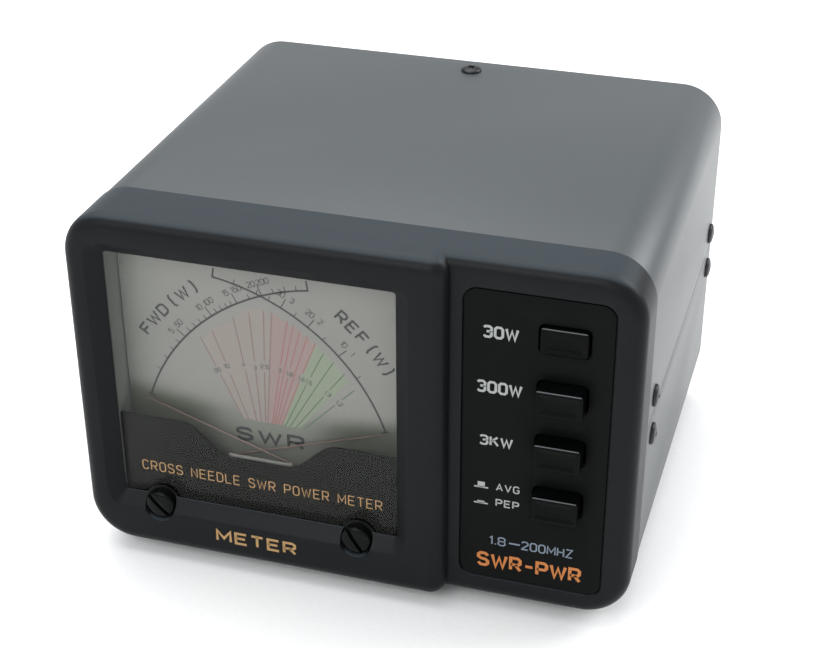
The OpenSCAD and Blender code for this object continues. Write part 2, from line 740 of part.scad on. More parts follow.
module rear_panel() color([0.20, 0.21, 0.22]) place() difference() {
  tab_out = cover_in + sheet_t + 0.4;
  union() {
    along_y(panel_y, panel_out) case_outline(tab_out);
    block(-8, 8, panel_y - 11, panel_y + 0.5, case_h - tab_out - 1.4, case_h - tab_out);
    block(-8, 8, panel_y - 11, panel_y + 0.5, tab_out, tab_out + 1.4);
  }
  for (x = [-1, 1] * connector_pitch / 2) {
    rod_y(x, connector_z, spigot_r + 0.1, panel_y - eps, panel_out + eps);
    for (dx = [-1, 1] * flange_hole, dz = [-1, 1] * flange_hole)
      rod_y(x + dx, connector_z + dz, flange_hole_r, panel_y - eps, panel_out + eps);
  }
  rod_y(jack_x, jack_z, jack_r + 0.1, panel_y - eps, panel_out + eps);
  for (x = [-flange_screw_x, flange_screw_x], z = side_boss_z)
    rod_y(x, z, clear_r, panel_y - eps, panel_out + eps);
  rod_z(0, rear_screw_y, thread_r, -1, 6);
  rod_z(0, rear_screw_y, thread_r, case_h - 6, case_h);
}

module feet() color([0.06, 0.06, 0.06]) place()
  for (x = [-foot_x, foot_x], y = foot_y) translate([x, y, -foot_h]) difference() {
    cylinder(h = foot_h + cover_in, r1 = foot_r - 0.8, r2 = foot_r);
    translate([0, 0, -eps]) cylinder(h = foot_h - foot_web + eps, r = head_r + 0.7);
    cylinder(h = foot_h + 1, r = clear_r);
  }

module cover_screws() color([0.08, 0.08, 0.085]) place() {
  for (side = [-1, 1], y = side_screw_y, z = [side_screw_upper, side_screw_lower])
    translate([side * (half_w - cover_in), y, z]) rotate([0, side * 90, 0]) cover_screw(5);
  translate([0, rear_screw_y, case_h - cover_in]) cover_screw(5);
  translate([0, rear_screw_y, cover_in]) rotate([180, 0, 0]) cover_screw(5);
}

// identical machine screws: bezel, meter, switches, rear panel, board and feet
module case_screws() color([0.60, 0.60, 0.58]) place() {
  for (x = [-side_boss_x, side_boss_x], z = side_boss_z)
    translate([x, tray_front + tray_t, z]) rotate([-90, 0, 0]) machine_screw(7);
  for (x = [dial_x - ear_dx, dial_x + ear_dx], z = [ear_low, ear_top])
    translate([x, ear_y + ear_t, z]) rotate([-90, 0, 0]) machine_screw(7);
  for (z = strip_screw_z)
    translate([button_x, switch_y, z]) rotate([-90, 0, 0]) machine_screw(7);
  for (x = [-flange_screw_x, flange_screw_x], z = side_boss_z)
    translate([x, panel_out, z]) rotate([-90, 0, 0]) machine_screw(7);
  for (x = [-board_screw_x, board_screw_x], y = board_screw_y)
    translate([x, y, board_top]) machine_screw(6);
  for (x = [-foot_x, foot_x], y = foot_y)
    translate([x, y, -foot_web]) rotate([180, 0, 0]) machine_screw(5);
}

// ---------- rear connectors ----------

module uhf_connector(x) color([0.78, 0.79, 0.80]) place() translate([x, 0, connector_z]) difference() {
  union() {
    block(-flange_half, flange_half, panel_out, panel_out + flange_t, -flange_half, flange_half);
    rod_y(0, 0, barrel_r, panel_out + flange_t, barrel_end);
    rod_y(0, 0, spigot_r, panel_y - 2, panel_out + flange_t / 2);
  }
  rod_y(0, 0, mouth_r, barrel_end - mouth_d, barrel_end + eps);
  rod_y(0, 0, insulator_r + contact_fit, panel_y - 3, barrel_end - mouth_d + eps);
  for (dx = [-1, 1] * flange_hole, dz = [-1, 1] * flange_hole)
    rod_y(dx, dz, flange_hole_r, panel_out - eps, panel_out + flange_t + eps);
}

module uhf_insulator(x) color([0.93, 0.92, 0.88]) place() translate([x, 0, connector_z]) difference() {
  rod_y(0, 0, insulator_r, panel_y - 4, barrel_end - mouth_d);
  rod_y(0, 0, contact_r + contact_fit, panel_y - 5, barrel_end);
}

module uhf_contact(x) color([0.80, 0.66, 0.30]) place() translate([x, 0, connector_z]) difference() {
  union() {
    rod_y(0, 0, contact_r, panel_y - 4, barrel_end - mouth_d);
    rod_y(0, 0, line_r, line_y + line_reach, panel_y - 3.5);
  }
  rod_y(0, 0, socket_r, barrel_end - mouth_d - socket_depth, barrel_end);
}

module tx_connector() uhf_connector(-connector_pitch / 2);
module tx_insulator() uhf_insulator(-connector_pitch / 2);
module tx_contact() uhf_contact(-connector_pitch / 2);
module ant_connector() uhf_connector(connector_pitch / 2);
module ant_insulator() uhf_insulator(connector_pitch / 2);
module ant_contact() uhf_contact(connector_pitch / 2);

module connector_screws() color([0.66, 0.67, 0.68]) place()
  for (x = [-1, 1] * connector_pitch / 2, dx = [-1, 1] * flange_hole, dz = [-1, 1] * flange_hole)
    translate([x + dx, panel_out + flange_t, connector_z + dz]) rotate([-90, 0, 0])
      machine_screw(7);

// coaxial power socket with its centre pin
module dc_jack() color([0.10, 0.10, 0.10]) place() {
  difference() {
    union() {
      rod_y(jack_x, jack_z, 5.6, panel_y - 12, panel_y);
      rod_y(jack_x, jack_z, jack_r, panel_y - 1, panel_out + 3);
      rod_y(jack_x, jack_z, jack_flange_r, panel_out, panel_out + 1.6);
    }
    rod_y(jack_x, jack_z, jack_bore_r, panel_out - 7, panel_out + 3 + eps);
  }
  rod_y(jack_x, jack_z, jack_pin_r, panel_out - 7.5, panel_out + 2);
}

// ---------- sensor and boards ----------

// shield can, open at its front
module sensor_can() color([0.74, 0.75, 0.74]) place() difference() {
  union() {
    difference() {
      block(-can_x, can_x, can_y, panel_y, can_z[0], can_z[1]);
      block(-can_x + can_t, can_x - can_t, can_y - 1, panel_y - can_t,
            can_z[0] + can_t, can_z[1] - can_t);
    }
    for (x = [-32, 32], y = [106, 124]) rod_z(x, y, 2, can_z[0] + can_t / 2, sensor_board_z);
  }
  for (x = [-1, 1] * connector_pitch / 2) {
    rod_y(x, connector_z, spigot_r + 0.1, panel_y - 2, panel_y + eps);
    for (dx = [-1, 1] * flange_hole, dz = [-1, 1] * flange_hole)
      rod_y(x + dx, connector_z + dz, thread_r, panel_y - 2, panel_y + eps);
  }
}

module sensor_lid() color([0.74, 0.75, 0.74]) place() difference() {
  block(-can_x - 1, can_x + 1, can_y - can_t, can_y + 5, can_z[0] - 1, can_z[1] + 1);
  block(-can_x - 0.05, can_x + 0.05, can_y, can_y + 6, can_z[0] - 0.05, can_z[1] + 0.05);
}

module sensor_board() color([0.15, 0.40, 0.22]) place()
  block(-36, 36, 102, 127, sensor_board_z, sensor_board_z + board_t);

// straight conductor between the two connectors
module through_line() color([0.80, 0.66, 0.30]) place() {
  end = connector_pitch / 2;
  translate([-end, line_y, connector_z]) rotate([0, 90, 0]) cylinder(h = 2 * end, r = line_r);
  for (x = [-end, end]) {
    rod_y(x, connector_z, line_r, line_y, line_y + line_reach);
    translate([x, line_y, connector_z]) sphere(r = line_r);
  }
}

module toroid_core() color([0.22, 0.22, 0.24]) place()
  translate([-3.5, line_y, connector_z]) rotate([0, 90, 0]) difference() {
    cylinder(h = 7, r = connector_z - sensor_board_z - board_t);
    translate([0, 0, -eps]) cylinder(h = 8, r = 4.5);
  }

module main_board() color([0.15, 0.40, 0.22]) place() difference() {
  block(-60, 60, 52, 94, board_z, board_top);
  for (x = [-board_screw_x, board_screw_x], y = board_screw_y)
    rod_z(x, y, clear_r, board_z - eps, board_top + eps);
}

module board_parts() color([0.12, 0.12, 0.14]) place() {
  for (x = [-34, -22], y = [62, 74]) rod_z(x, y, 4, board_top, board_top + 11);
  for (x = [-6, 14]) block(x - 5, x + 5, 66, 72, board_top, board_top + 3);
  block(-48, -28, 84, 89, board_top, board_top + 8);
  for (y = trimmer_y) difference() {
    block(trimmer_x - 4.8, trimmer_x + 4.8, y - 4.8, y + 4.8, board_top, board_top + 4.8);
    rod_z(trimmer_x, y, trimmer_r + 0.05, trimmer_floor, board_top + 6);
  }
}

// slotted rotor of one calibration trimmer
module trimmer_rotor(y) color([0.88, 0.87, 0.80]) place() difference() {
  rod_z(trimmer_x, y, trimmer_r, trimmer_floor, board_top + 5.4);
  block(trimmer_x - 3, trimmer_x + 3, y - 0.35, y + 0.35, board_top + 4.6, board_top + 6);
}

module fwd_trimmer() trimmer_rotor(trimmer_y[0]);
module ref_trimmer() trimmer_rotor(trimmer_y[1]);

front_bezel();
control_plate();
meter_lens();
meter_mask();
dial_plate();
meter_housing();
lamp_board();
upper_cover();
lower_cover();
chassis_tray();
rear_panel();
feet();
cover_screws();
case_screws();
connector_screws();
fwd_yoke();
fwd_core();
fwd_coil();
fwd_needle();
fwd_hairspring();
fwd_zero_lever();
fwd_zero_screw();
ref_yoke();
ref_core();
ref_coil();
ref_needle();
ref_hairspring();
ref_zero_lever();
ref_zero_screw();
button_30w();
button_300w();
button_3kw();
button_avg_pep();
plunger_30w();
plunger_300w();
plunger_3kw();
plunger_avg_pep();
spring_30w();
spring_300w();
spring_3kw();
spring_avg_pep();
switch_bank();
switch_board();
latch_bar();
tx_connector();
tx_insulator();
tx_contact();
ant_connector();
ant_insulator();
ant_contact();
dc_jack();
sensor_can();
sensor_lid();
sensor_board();
through_line();
toroid_core();
main_board();
board_parts();
fwd_trimmer();
ref_trimmer();
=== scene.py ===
# %% [markdown]
# # A cross-needle SWR meter
# The meter is a steel box with a moulded plastic front. Two needles cross over one dial: one shows
# the power that goes forward to the antenna, the other the power that comes back, and the place
# where they cross shows the standing-wave ratio. The engineering model already fixes every size,
# so this lesson only adds what the eye wants: soft edges, printed scales and real finishes.

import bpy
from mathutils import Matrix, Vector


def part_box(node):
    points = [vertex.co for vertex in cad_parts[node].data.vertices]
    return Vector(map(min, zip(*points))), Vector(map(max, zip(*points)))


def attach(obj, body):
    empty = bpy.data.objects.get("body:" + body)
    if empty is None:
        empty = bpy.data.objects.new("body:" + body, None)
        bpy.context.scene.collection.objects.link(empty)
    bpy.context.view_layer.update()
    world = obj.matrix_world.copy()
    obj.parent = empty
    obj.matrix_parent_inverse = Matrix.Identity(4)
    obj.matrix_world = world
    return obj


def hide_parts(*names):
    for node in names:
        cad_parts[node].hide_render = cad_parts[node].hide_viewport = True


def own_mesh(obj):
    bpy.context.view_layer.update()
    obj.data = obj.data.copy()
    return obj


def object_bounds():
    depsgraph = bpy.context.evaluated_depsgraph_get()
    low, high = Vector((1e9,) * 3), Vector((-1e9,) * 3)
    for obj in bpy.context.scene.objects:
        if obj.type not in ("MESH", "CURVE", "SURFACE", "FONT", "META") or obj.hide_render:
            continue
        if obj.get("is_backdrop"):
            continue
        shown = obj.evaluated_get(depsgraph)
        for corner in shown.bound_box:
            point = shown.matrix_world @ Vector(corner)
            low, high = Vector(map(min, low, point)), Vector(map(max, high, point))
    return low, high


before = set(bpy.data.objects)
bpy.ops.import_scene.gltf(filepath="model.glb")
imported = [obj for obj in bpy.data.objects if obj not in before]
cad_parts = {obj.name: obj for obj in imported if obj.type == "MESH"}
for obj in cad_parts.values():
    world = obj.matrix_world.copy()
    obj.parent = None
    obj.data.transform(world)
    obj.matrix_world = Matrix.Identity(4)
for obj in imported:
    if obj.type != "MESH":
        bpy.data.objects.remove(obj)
cad_box = [list(corner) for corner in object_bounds()]

# %% [markdown]
# ## Places
# Drawings of the case are easiest to read from its front left corner at the bottom: x from the
# middle, y back from the meter face, z up from the underside of the case. One function turns such
# a place, in millimetres, into the model's metres.

# %% A ruler for the case
import math
import random

import bmesh
import bpy
from mathutils import Matrix, Vector

MM = 0.001
FACE_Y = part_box("front_bezel")[0].y
BASE_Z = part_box("front_bezel")[0].z


def at(x, y, z):
    """A place on the case, from millimetres to the model's metres."""
    return Vector((x * MM, FACE_Y + y * MM, BASE_Z + z * MM))


def size_of(node):
    """Low and high corners of a node in case millimetres."""
    low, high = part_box(node)
    origin = at(0, 0, 0)
    return (low - origin) / MM, (high - origin) / MM


case_high = size_of("front_bezel")[1]
HALF_W, CASE_H, BEZEL_BACK = case_high.x, case_high.z, size_of("upper_cover")[0].y - 0.2
CASE_BACK = size_of("upper_cover")[1].y
print(f"case {2 * HALF_W:.1f} wide, {CASE_H:.1f} high, covers end at {CASE_BACK:.1f} mm")

# %% [markdown]
# ## The camera
# A long lens from above and a little to the right keeps the box's edges nearly parallel. The
# camera is set from its own three axes, so that the slight roll of a hand-held shot is kept.

# %% Camera
eye = at(127.37, -354.63, 297.31)
right = Vector((0.9564, 0.2920, -0.0031)).normalized()
forward = Vector((-0.2551, 0.8302, -0.4957)).normalized()
up = right.cross(forward).normalized()
right = forward.cross(up).normalized()

camera = bpy.data.objects.new("camera", bpy.data.cameras.new("camera"))
camera.data.lens = 75.26
camera.data.sensor_width = 36
camera.data.clip_end = 10
camera.matrix_world = Matrix((
    (right.x, up.x, -forward.x, eye.x),
    (right.y, up.y, -forward.y, eye.y),
    (right.z, up.z, -forward.z, eye.z),
    (0, 0, 0, 1),
))
bpy.context.scene.collection.objects.link(camera)
bpy.context.scene.camera = camera
print("camera stands", round((eye - at(0, 60, 50)).length, 3), "m from the case")

# %% [markdown]
# ## Shader sums
# A finish is mostly arithmetic on patterns. This class holds one output of a node and lets it be
# added, scaled and raised to a power in plain Python, so `1 - scratches * 0.3` makes its own Math nodes.


# %% A socket that can do sums
class Wire:
    """One output of a shader node, which can be used in sums."""

    def __init__(self, finish, socket):
        self.finish, self.socket = finish, socket

    def maths(self, operation, *values):
        return self.finish.node("ShaderNodeMath", {"operation": operation}, dict(enumerate(values)))["Value"]

    def __add__(self, other):
        return self.maths("ADD", self, other)

    def __radd__(self, other):
        return self.maths("ADD", other, self)

    def __sub__(self, other):
        return self.maths("SUBTRACT", self, other)

    def __rsub__(self, other):
        return self.maths("SUBTRACT", other, self)

    def __mul__(self, other):
        return self.maths("MULTIPLY", self, other)

    def __rmul__(self, other):
        return self.maths("MULTIPLY", other, self)

    def __truediv__(self, other):
        return self.maths("DIVIDE", self, other)

    def __pow__(self, power):
        return self.maths("POWER", self, power)

    def held(self):
        """Kept between 0 and 1."""
        return self.finish.node("ShaderNodeClamp", {}, {"Value": self})["Result"]


class Outputs:
    """The outputs of a node that was just made, by name."""

    def __init__(self, finish, made):
        self.finish, self.made = finish, made

    def __getitem__(self, name):
        return Wire(self.finish, self.made.outputs[name])


# %% [markdown]
# ## One method for every node
# `node` takes a node's type, its settings and its inputs. `Finish` wraps a material round one
# Principled shader, and `place` reads the object's own coordinates, so a pattern stays put when a
# button or a needle moves.


# %% A finish to be wired up
class Finish:
    """A material with one Principled shader, and helpers to feed it."""

    def __init__(self, name, colour, roughness, metallic=0.0, ior=1.5):
        self.material = bpy.data.materials.new(name)
        self.material.use_nodes = True
        self.tree = self.material.node_tree
        self.tree.nodes.clear()
        self.shader = self.tree.nodes.new("ShaderNodeBsdfPrincipled")
        self.output = self.tree.nodes.new("ShaderNodeOutputMaterial")
        self.tree.links.new(self.shader.outputs["BSDF"], self.output.inputs["Surface"])
        self.set({"Base Color": colour, "Roughness": roughness, "Metallic": metallic, "IOR": ior})
        self.place = self.node("ShaderNodeTexCoord")["Object"]

    def put(self, socket, value):
        if isinstance(value, Wire):
            self.tree.links.new(value.socket, socket)
        elif isinstance(value, tuple) and len(value) == 3 and socket.type == "RGBA":
            socket.default_value = (*value, 1)
        else:
            socket.default_value = value

    def node(self, kind, settings=None, values=None):
        made = self.tree.nodes.new(kind)
        for key, value in (settings or {}).items():
            if key == "stops":
                ramp = made.color_ramp.elements
                for spot, colour in value[2:]:
                    ramp.new(spot)
                for element, (spot, colour) in zip(ramp, sorted(value)):
                    element.position, element.color = spot, (*colour, 1)
            else:
                setattr(made, key, value)
        for key, value in (values or {}).items():
            self.put(made.inputs[key], value)
        return Outputs(self, made)

    def set(self, values):
        for name, value in values.items():
            self.put(self.shader.inputs[name], value)
        return self

    def mottle(self, size_mm, detail=3.0, stretch=(1, 1, 1)):
        """Soft random pattern from 0 to 1 whose blotches are about size_mm across."""
        placed = self.node("ShaderNodeMapping", {}, {"Vector": self.place, "Scale": stretch})["Vector"]
        return self.node("ShaderNodeTexNoise", {}, {
            "Vector": placed, "Scale": 1 / (size_mm * MM), "Detail": detail})["Fac"]

    def blend(self, factor, first, second):
        made = self.node("ShaderNodeMix", {"data_type": "RGBA"}, {0: factor, 6: first, 7: second})
        return Wire(self, made.made.outputs[2])

    def bump(self, height, depth_mm):
        """Relief of the given depth, from a pattern that runs from 0 to 1."""
        normal = self.node("ShaderNodeBump", {}, {
            "Height": height, "Distance": depth_mm * MM, "Strength": 1.0})["Normal"]
        return self.set({"Normal": normal})


def tone(red, green, blue):
    """A colour as it looks on a screen, from 0 to 255, turned into linear light."""
    return tuple((c / 255 / 12.92 if c <= 10 else ((c / 255 + 0.055) / 1.055) ** 2.4)
                 for c in (red, green, blue))


print("shader helpers ready; mid grey is", [round(v, 3) for v in tone(119, 119, 119)])

# %% [markdown]
# ## Plastics
# The front is moulded in a spark-eroded tool, which leaves a fine, even grain on the plastic. Grain
# is two noise patterns: one about a third of a millimetre across for the relief, and a much
# wider one that shifts the roughness slightly, as handling does. `paler_above` paints the top of
# the bezel and the upper edge of each button paler. That is colour, not light: it stands in for the
# reflection of a bright room, which this plain studio doesn't have, and it stays under any lamp.


# %% Moulded plastic
def moulded(name, colour, roughness, grain_mm=0.35, relief_mm=0.02, gloss=0.5):
    finish = Finish(name, colour, roughness, ior=1.46)
    finish.set({"Specular IOR Level": gloss})
    grain = finish.mottle(grain_mm, 2.0)
    wear = finish.mottle(18, 3.0)
    finish.set({
        "Base Color": finish.blend(wear, colour, tuple(c * 1.25 + 0.001 for c in colour)),
        "Roughness": (roughness - 0.05 + wear * 0.08 + grain * 0.06).held(),
    })
    return finish.bump(grain, relief_mm) if relief_mm else finish


def paler_above(finish, colour, start, full, end=2.0, gone=3.0, forward=(-3.0, -2.0)):
    """Blends in a colour where a face looks upwards, and as far forward as the last pair says."""
    looks = finish.node("ShaderNodeTexCoord")["Normal"]
    parts = finish.node("ShaderNodeSeparateXYZ", {}, {"Vector": looks})
    rise, fall, front = [finish.node("ShaderNodeMapRange", {"interpolation_type": "SMOOTHSTEP"}, {
        "Value": value, 1: a, 2: b, 3: c, 4: d})["Result"]
        for value, a, b, c, d in ((parts["Z"], start, full, 0.0, 1.0), (parts["Z"], end, gone, 1.0, 0.0),
                                  (parts["Y"] * -1.0, *forward, 0.0, 1.0))]
    plain = Wire(finish, finish.shader.inputs["Base Color"].links[0].from_socket)
    finish.set({"Base Color": finish.blend(rise * fall * front, plain, colour)})


bezel_black = moulded("bezel_plastic", tone(17, 19, 21), 0.38, gloss=0.1)
paler_above(bezel_black, tone(46, 52, 56), 0.64, 0.85)
face_black = moulded("button_face_plastic", tone(8, 9, 9), 0.46, 0.3, gloss=0.06)
button_black = moulded("button_plastic", tone(3, 4, 4), 0.3, 0.5, 0.0, gloss=0.06)
screw_black = moulded("zero_screw_plastic", tone(4, 5, 5), 0.25, 0.6, 0.0, gloss=0.12)
housing_grey = moulded("housing_plastic", tone(104, 106, 102), 0.7, gloss=0.2)
mask_black = moulded("mask_print", tone(13, 13, 11), 0.6, 1.2, 0.0, gloss=0.06)
plunger_white = moulded("plunger_plastic", tone(214, 210, 198), 0.45)
switch_blue = moulded("switch_plastic", tone(62, 70, 84), 0.45)
ptfe_white = moulded("white_insulator", tone(226, 224, 215), 0.42, 0.8, 0.004)
chip_black = moulded("component_plastic", tone(34, 34, 36), 0.5)
trimmer_cream = moulded("trimmer_plastic", tone(214, 208, 178), 0.4)
paler_above(button_black, tone(88, 92, 94), 0.55, 0.7, 0.85, 0.98, (0.15, 0.4))
print("plastics:", bezel_black.material.name, face_black.material.name, button_black.material.name)

# %% [markdown]
# ## Rubber
# The feet are soft black rubber: very rough, a little dusty, and never quite black.

# %% Rubber
foot_rubber = moulded("foot_rubber", tone(24, 24, 24), 0.82, 0.5, 0.03)
dust = foot_rubber.mottle(3.5, 5.0)
foot_rubber.set({"Base Color": foot_rubber.blend(dust, tone(22, 22, 22), tone(44, 43, 41))})

# %% [markdown]
# ## Paint on steel
# The covers are sprayed in a satin dark grey. Spray paint dries with orange peel, shallow dimples
# two or three millimetres apart, and fine specks of dust in the film. The peel is kept very low,
# because light skims the side of the case and shows the least ripple.


# %% Satin cover paint
def sprayed(name, colour, roughness):
    finish = Finish(name, colour, roughness, ior=1.5)
    peel = finish.mottle(2.4, 1.0)
    speck = finish.mottle(0.28, 2.0)
    handling = finish.mottle(38, 4.0)
    finish.set({
        "Base Color": finish.blend(handling, tuple(c * 0.93 for c in colour),
                                   tuple(c * 1.07 for c in colour)),
        "Roughness": (roughness - 0.03 + handling * 0.05 + speck * 0.05).held(),
    })
    return finish.bump(peel * 0.6 + speck * 0.4, 0.012)


cover_paint = sprayed("cover_paint", tone(54, 59, 62), 0.37)
panel_paint = sprayed("rear_panel_paint", tone(52, 54, 56), 0.42)
print("paint:", cover_paint.material.name, panel_paint.material.name)

# %% [markdown]
# ## Metals
# A metal takes its colour from its reflection. Rolled or drawn metal has a direction, so the noise
# is stretched along one axis; plated parts are smooth, with faint clouds left by the bath.


# %% Plated, drawn and cast metal
def metal(name, colour, roughness, grain_mm=0.6, stretch=(1, 1, 1), relief_mm=0.004):
    finish = Finish(name, colour, roughness, metallic=1.0)
    streaks = finish.mottle(grain_mm, 3.0, stretch)
    clouds = finish.mottle(7, 3.0)
    finish.set({
        "Base Color": finish.blend(clouds, tuple(c * 0.86 for c in colour), colour),
        "Roughness": (roughness - 0.06 + streaks * 0.12 + clouds * 0.05).held(),
    })
    return finish.bump(streaks, relief_mm)


nickel = metal("nickel_plate", tone(176, 174, 168), 0.26, 0.6, (1, 1, 1), 0.001)
zinc = metal("zinc_plate", tone(196, 196, 188), 0.34, 0.5, (1, 6, 1))
tinplate = metal("tinned_steel", tone(204, 205, 202), 0.3, 0.5, (6, 1, 1))
gold = metal("gold_contact", tone(226, 186, 104), 0.26)
brass = metal("brass_sheet", tone(208, 172, 96), 0.3, 0.4, (1, 1, 7))
bronze = metal("spring_bronze", tone(210, 170, 100), 0.28)
spring_steel = metal("spring_steel", tone(178, 180, 182), 0.3)
soft_iron = metal("soft_iron", tone(150, 151, 153), 0.42, 0.4, (1, 5, 1), 0.01)
magnet = metal("magnet_alloy", tone(104, 104, 108), 0.5, 0.5, (1, 1, 1), 0.03)
copper = metal("copper_wire", tone(196, 112, 66), 0.32, 0.12, (1, 12, 1), 0.03)
ferrite = moulded("ferrite", tone(52, 52, 55), 0.6, 0.4, 0.04)
black_plate = metal("black_screws", tone(58, 58, 60), 0.34)
print("metals:", nickel.material.name, zinc.material.name, gold.material.name)

# %% [markdown]
# ## Circuit board
# Green solder mask over glass cloth. The weave shows faintly, as small raised squares, and copper
# tracks show as slightly lighter bands.

# %% Solder mask
circuit_green = Finish("circuit_board", tone(24, 84, 46), 0.3)
weave = circuit_green.node("ShaderNodeTexChecker", {}, {
    "Vector": circuit_green.place, "Scale": 1200.0})["Fac"]
tracks = circuit_green.node("ShaderNodeTexBrick", {}, {
    "Vector": circuit_green.place, "Scale": 260.0, "Mortar Size": 0.12})["Fac"]
circuit_green.set({"Base Color": circuit_green.blend(tracks, tone(22, 78, 44), tone(46, 116, 66))})
circuit_green.bump(weave * 0.3 + tracks * 0.7, 0.02)

# %% [markdown]
# ## Building blocks
# Most pieces of an instrument are made from one outline: a rectangle with rounded corners that
# grows or shrinks as it goes back. `outline` gives the points of such a rectangle, and `loft`
# joins several of them, so that a soft front edge is only a list of (growth, depth) pairs.


# %% Outlines and lofts
def outline(x0, x1, z0, z1, radii, grow=0.0, steps=12):
    """Points of a rounded rectangle, anticlockwise from the lower right, in case millimetres."""
    if not isinstance(radii, tuple):
        radii = (radii,) * 4
    corners = ((x1, z0, -90), (x1, z1, 0), (x0, z1, 90), (x0, z0, 180))
    points = []
    for (x, z, start), radius in zip(corners, radii):
        r = max(radius + grow, 0.02)
        inward = (1 if x == x1 else -1, 1 if z == z1 else -1)
        cx, cz = x + inward[0] * (grow - r), z + inward[1] * (grow - r)
        for i in range(steps + 1):
            turn = math.radians(start + 90 * i / steps)
            points.append((cx + r * math.cos(turn), cz + r * math.sin(turn)))
    return points


def skin(rings, close_ends=True, closed=True):
    """A bmesh through rings of places that all have the same number of points."""
    mesh = bmesh.new()
    rows = [[mesh.verts.new(p) for p in ring] for ring in rings]
    count = len(rows[0])
    for row, following in zip(rows, rows[1:]):
        for i in range(count if closed else count - 1):
            j = (i + 1) % count
            mesh.faces.new((row[i], row[j], following[j], following[i]))
    if close_ends:
        mesh.faces.new(list(reversed(rows[0])))
        mesh.faces.new(rows[-1])
    bmesh.ops.recalc_face_normals(mesh, faces=mesh.faces)
    return mesh


def loft(shape, profile, steps=12):
    """A solid from (grow, y) pairs on one rounded rectangle (x0, x1, z0, z1, radii)."""
    return skin([[at(x, y, z) for x, z in outline(*shape, grow=grow, steps=steps)]
                 for grow, y in profile])


def soft_edge(radius, y, steps=6, inward=1):
    """(grow, y) pairs that round an edge of the given radius, from the flat face outwards."""
    pairs = []
    for i in range(steps + 1):
        turn = math.pi / 2 * i / steps
        pairs.append((-radius * (1 - math.sin(turn)), y + inward * radius * (1 - math.cos(turn))))
    return pairs


def slab(shape, front, back, edge=0.3, back_edge=None):
    """A plate with softened front and back edges."""
    back_edge = edge if back_edge is None else back_edge
    front_pairs = soft_edge(edge, front, 4)
    back_pairs = [(g, y) for g, y in reversed(soft_edge(back_edge, back, 4, -1))]
    return loft(shape, front_pairs + back_pairs, 10)


def box(x0, x1, y0, y1, z0, z1):
    """A plain block, for cutting."""
    mesh = bmesh.new()
    bmesh.ops.create_cube(mesh, size=1)
    for v in mesh.verts:
        v.co = at(x0 if v.co.x < 0 else x1, y0 if v.co.y < 0 else y1, z0 if v.co.z < 0 else z1)
    return mesh


# %% [markdown]
# Screws, connectors and knobs are turned shapes: a half profile of (radius, height) swept round an
# axis. `turned` makes one, and `stand` then places it with its axis along any direction.


# %% Turned shapes
def turned(profile, segments=48, ripple=None):
    """A solid of revolution about Z, in millimetres; ripple changes the radius by angle and height."""
    mesh = bmesh.new()
    rows = []
    for radius, height in profile:
        row = []
        for i in range(segments):
            turn = 2 * math.pi * i / segments
            r = radius + (ripple(turn, height, radius) if ripple else 0)
            row.append(mesh.verts.new((r * math.cos(turn), r * math.sin(turn), height)))
        rows.append(row)
    for row, following in zip(rows, rows[1:]):
        for i in range(segments):
            j = (i + 1) % segments
            mesh.faces.new((row[i], row[j], following[j], following[i]))
    mesh.faces.new(list(reversed(rows[0])))
    mesh.faces.new(rows[-1])
    bmesh.ops.recalc_face_normals(mesh, faces=mesh.faces)
    return mesh


def facing(direction):
    """Turns +Z to point along a direction."""
    return Vector(direction).to_track_quat("Z", "Y").to_matrix().to_4x4()


def stand(mesh, place, direction=(0, 0, 1)):
    """Moves a turned shape to a place on the case, with its axis along a direction."""
    mesh.transform(Matrix.Translation(place) @ facing(direction) @ Matrix.Scale(MM, 4))
    return mesh


def together(*meshes):
    """One bmesh that holds several."""
    whole = bmesh.new()
    for mesh in meshes:
        data = bpy.data.meshes.new("passing")
        mesh.to_mesh(data)
        whole.from_mesh(data)
        bpy.data.meshes.remove(data)
    return whole


# %% [markdown]
# ## Cutting and finishing a piece
# Openings are cut with exact booleans, as a toolmaker would sink them into the moulding. A piece is
# then shaded smooth, except along edges that really are sharp, and rides on its body.


# %% Cutting
def cut(mesh, *cutters, join=False):
    """The mesh with the cutters taken away, or added."""
    scene = bpy.context.scene.collection
    data = bpy.data.meshes.new("blank")
    mesh.to_mesh(data)
    blank = bpy.data.objects.new("blank", data)
    scene.objects.link(blank)
    tools = []
    for cutter in cutters:
        tool_data = bpy.data.meshes.new("tool")
        cutter.to_mesh(tool_data)
        tool = bpy.data.objects.new("tool", tool_data)
        scene.objects.link(tool)
        tools.append(tool)
        step = blank.modifiers.new("cut", "BOOLEAN")
        step.operation, step.solver, step.object = "UNION" if join else "DIFFERENCE", "EXACT", tool
    bpy.context.view_layer.update()
    evaluated = blank.evaluated_get(bpy.context.evaluated_depsgraph_get())
    result = bmesh.new()
    result.from_mesh(evaluated.to_mesh())
    evaluated.to_mesh_clear()
    for thing in (blank, *tools):
        old = thing.data
        bpy.data.objects.remove(thing)
        bpy.data.meshes.remove(old)
    return result


def softened(mesh, width, above=40.0, segments=2):
    """The mesh with its edges sharper than an angle rounded off."""
    sharp = [e for e in mesh.edges if len(e.link_faces) == 2 and e.calc_face_angle(0) > math.radians(above)]
    bmesh.ops.bevel(mesh, geom=sharp, offset=width * MM, offset_type="OFFSET", segments=segments,
                    profile=0.5, affect="EDGES", clamp_overlap=True)
    return mesh


# %% Finishing a piece
made_pieces = []


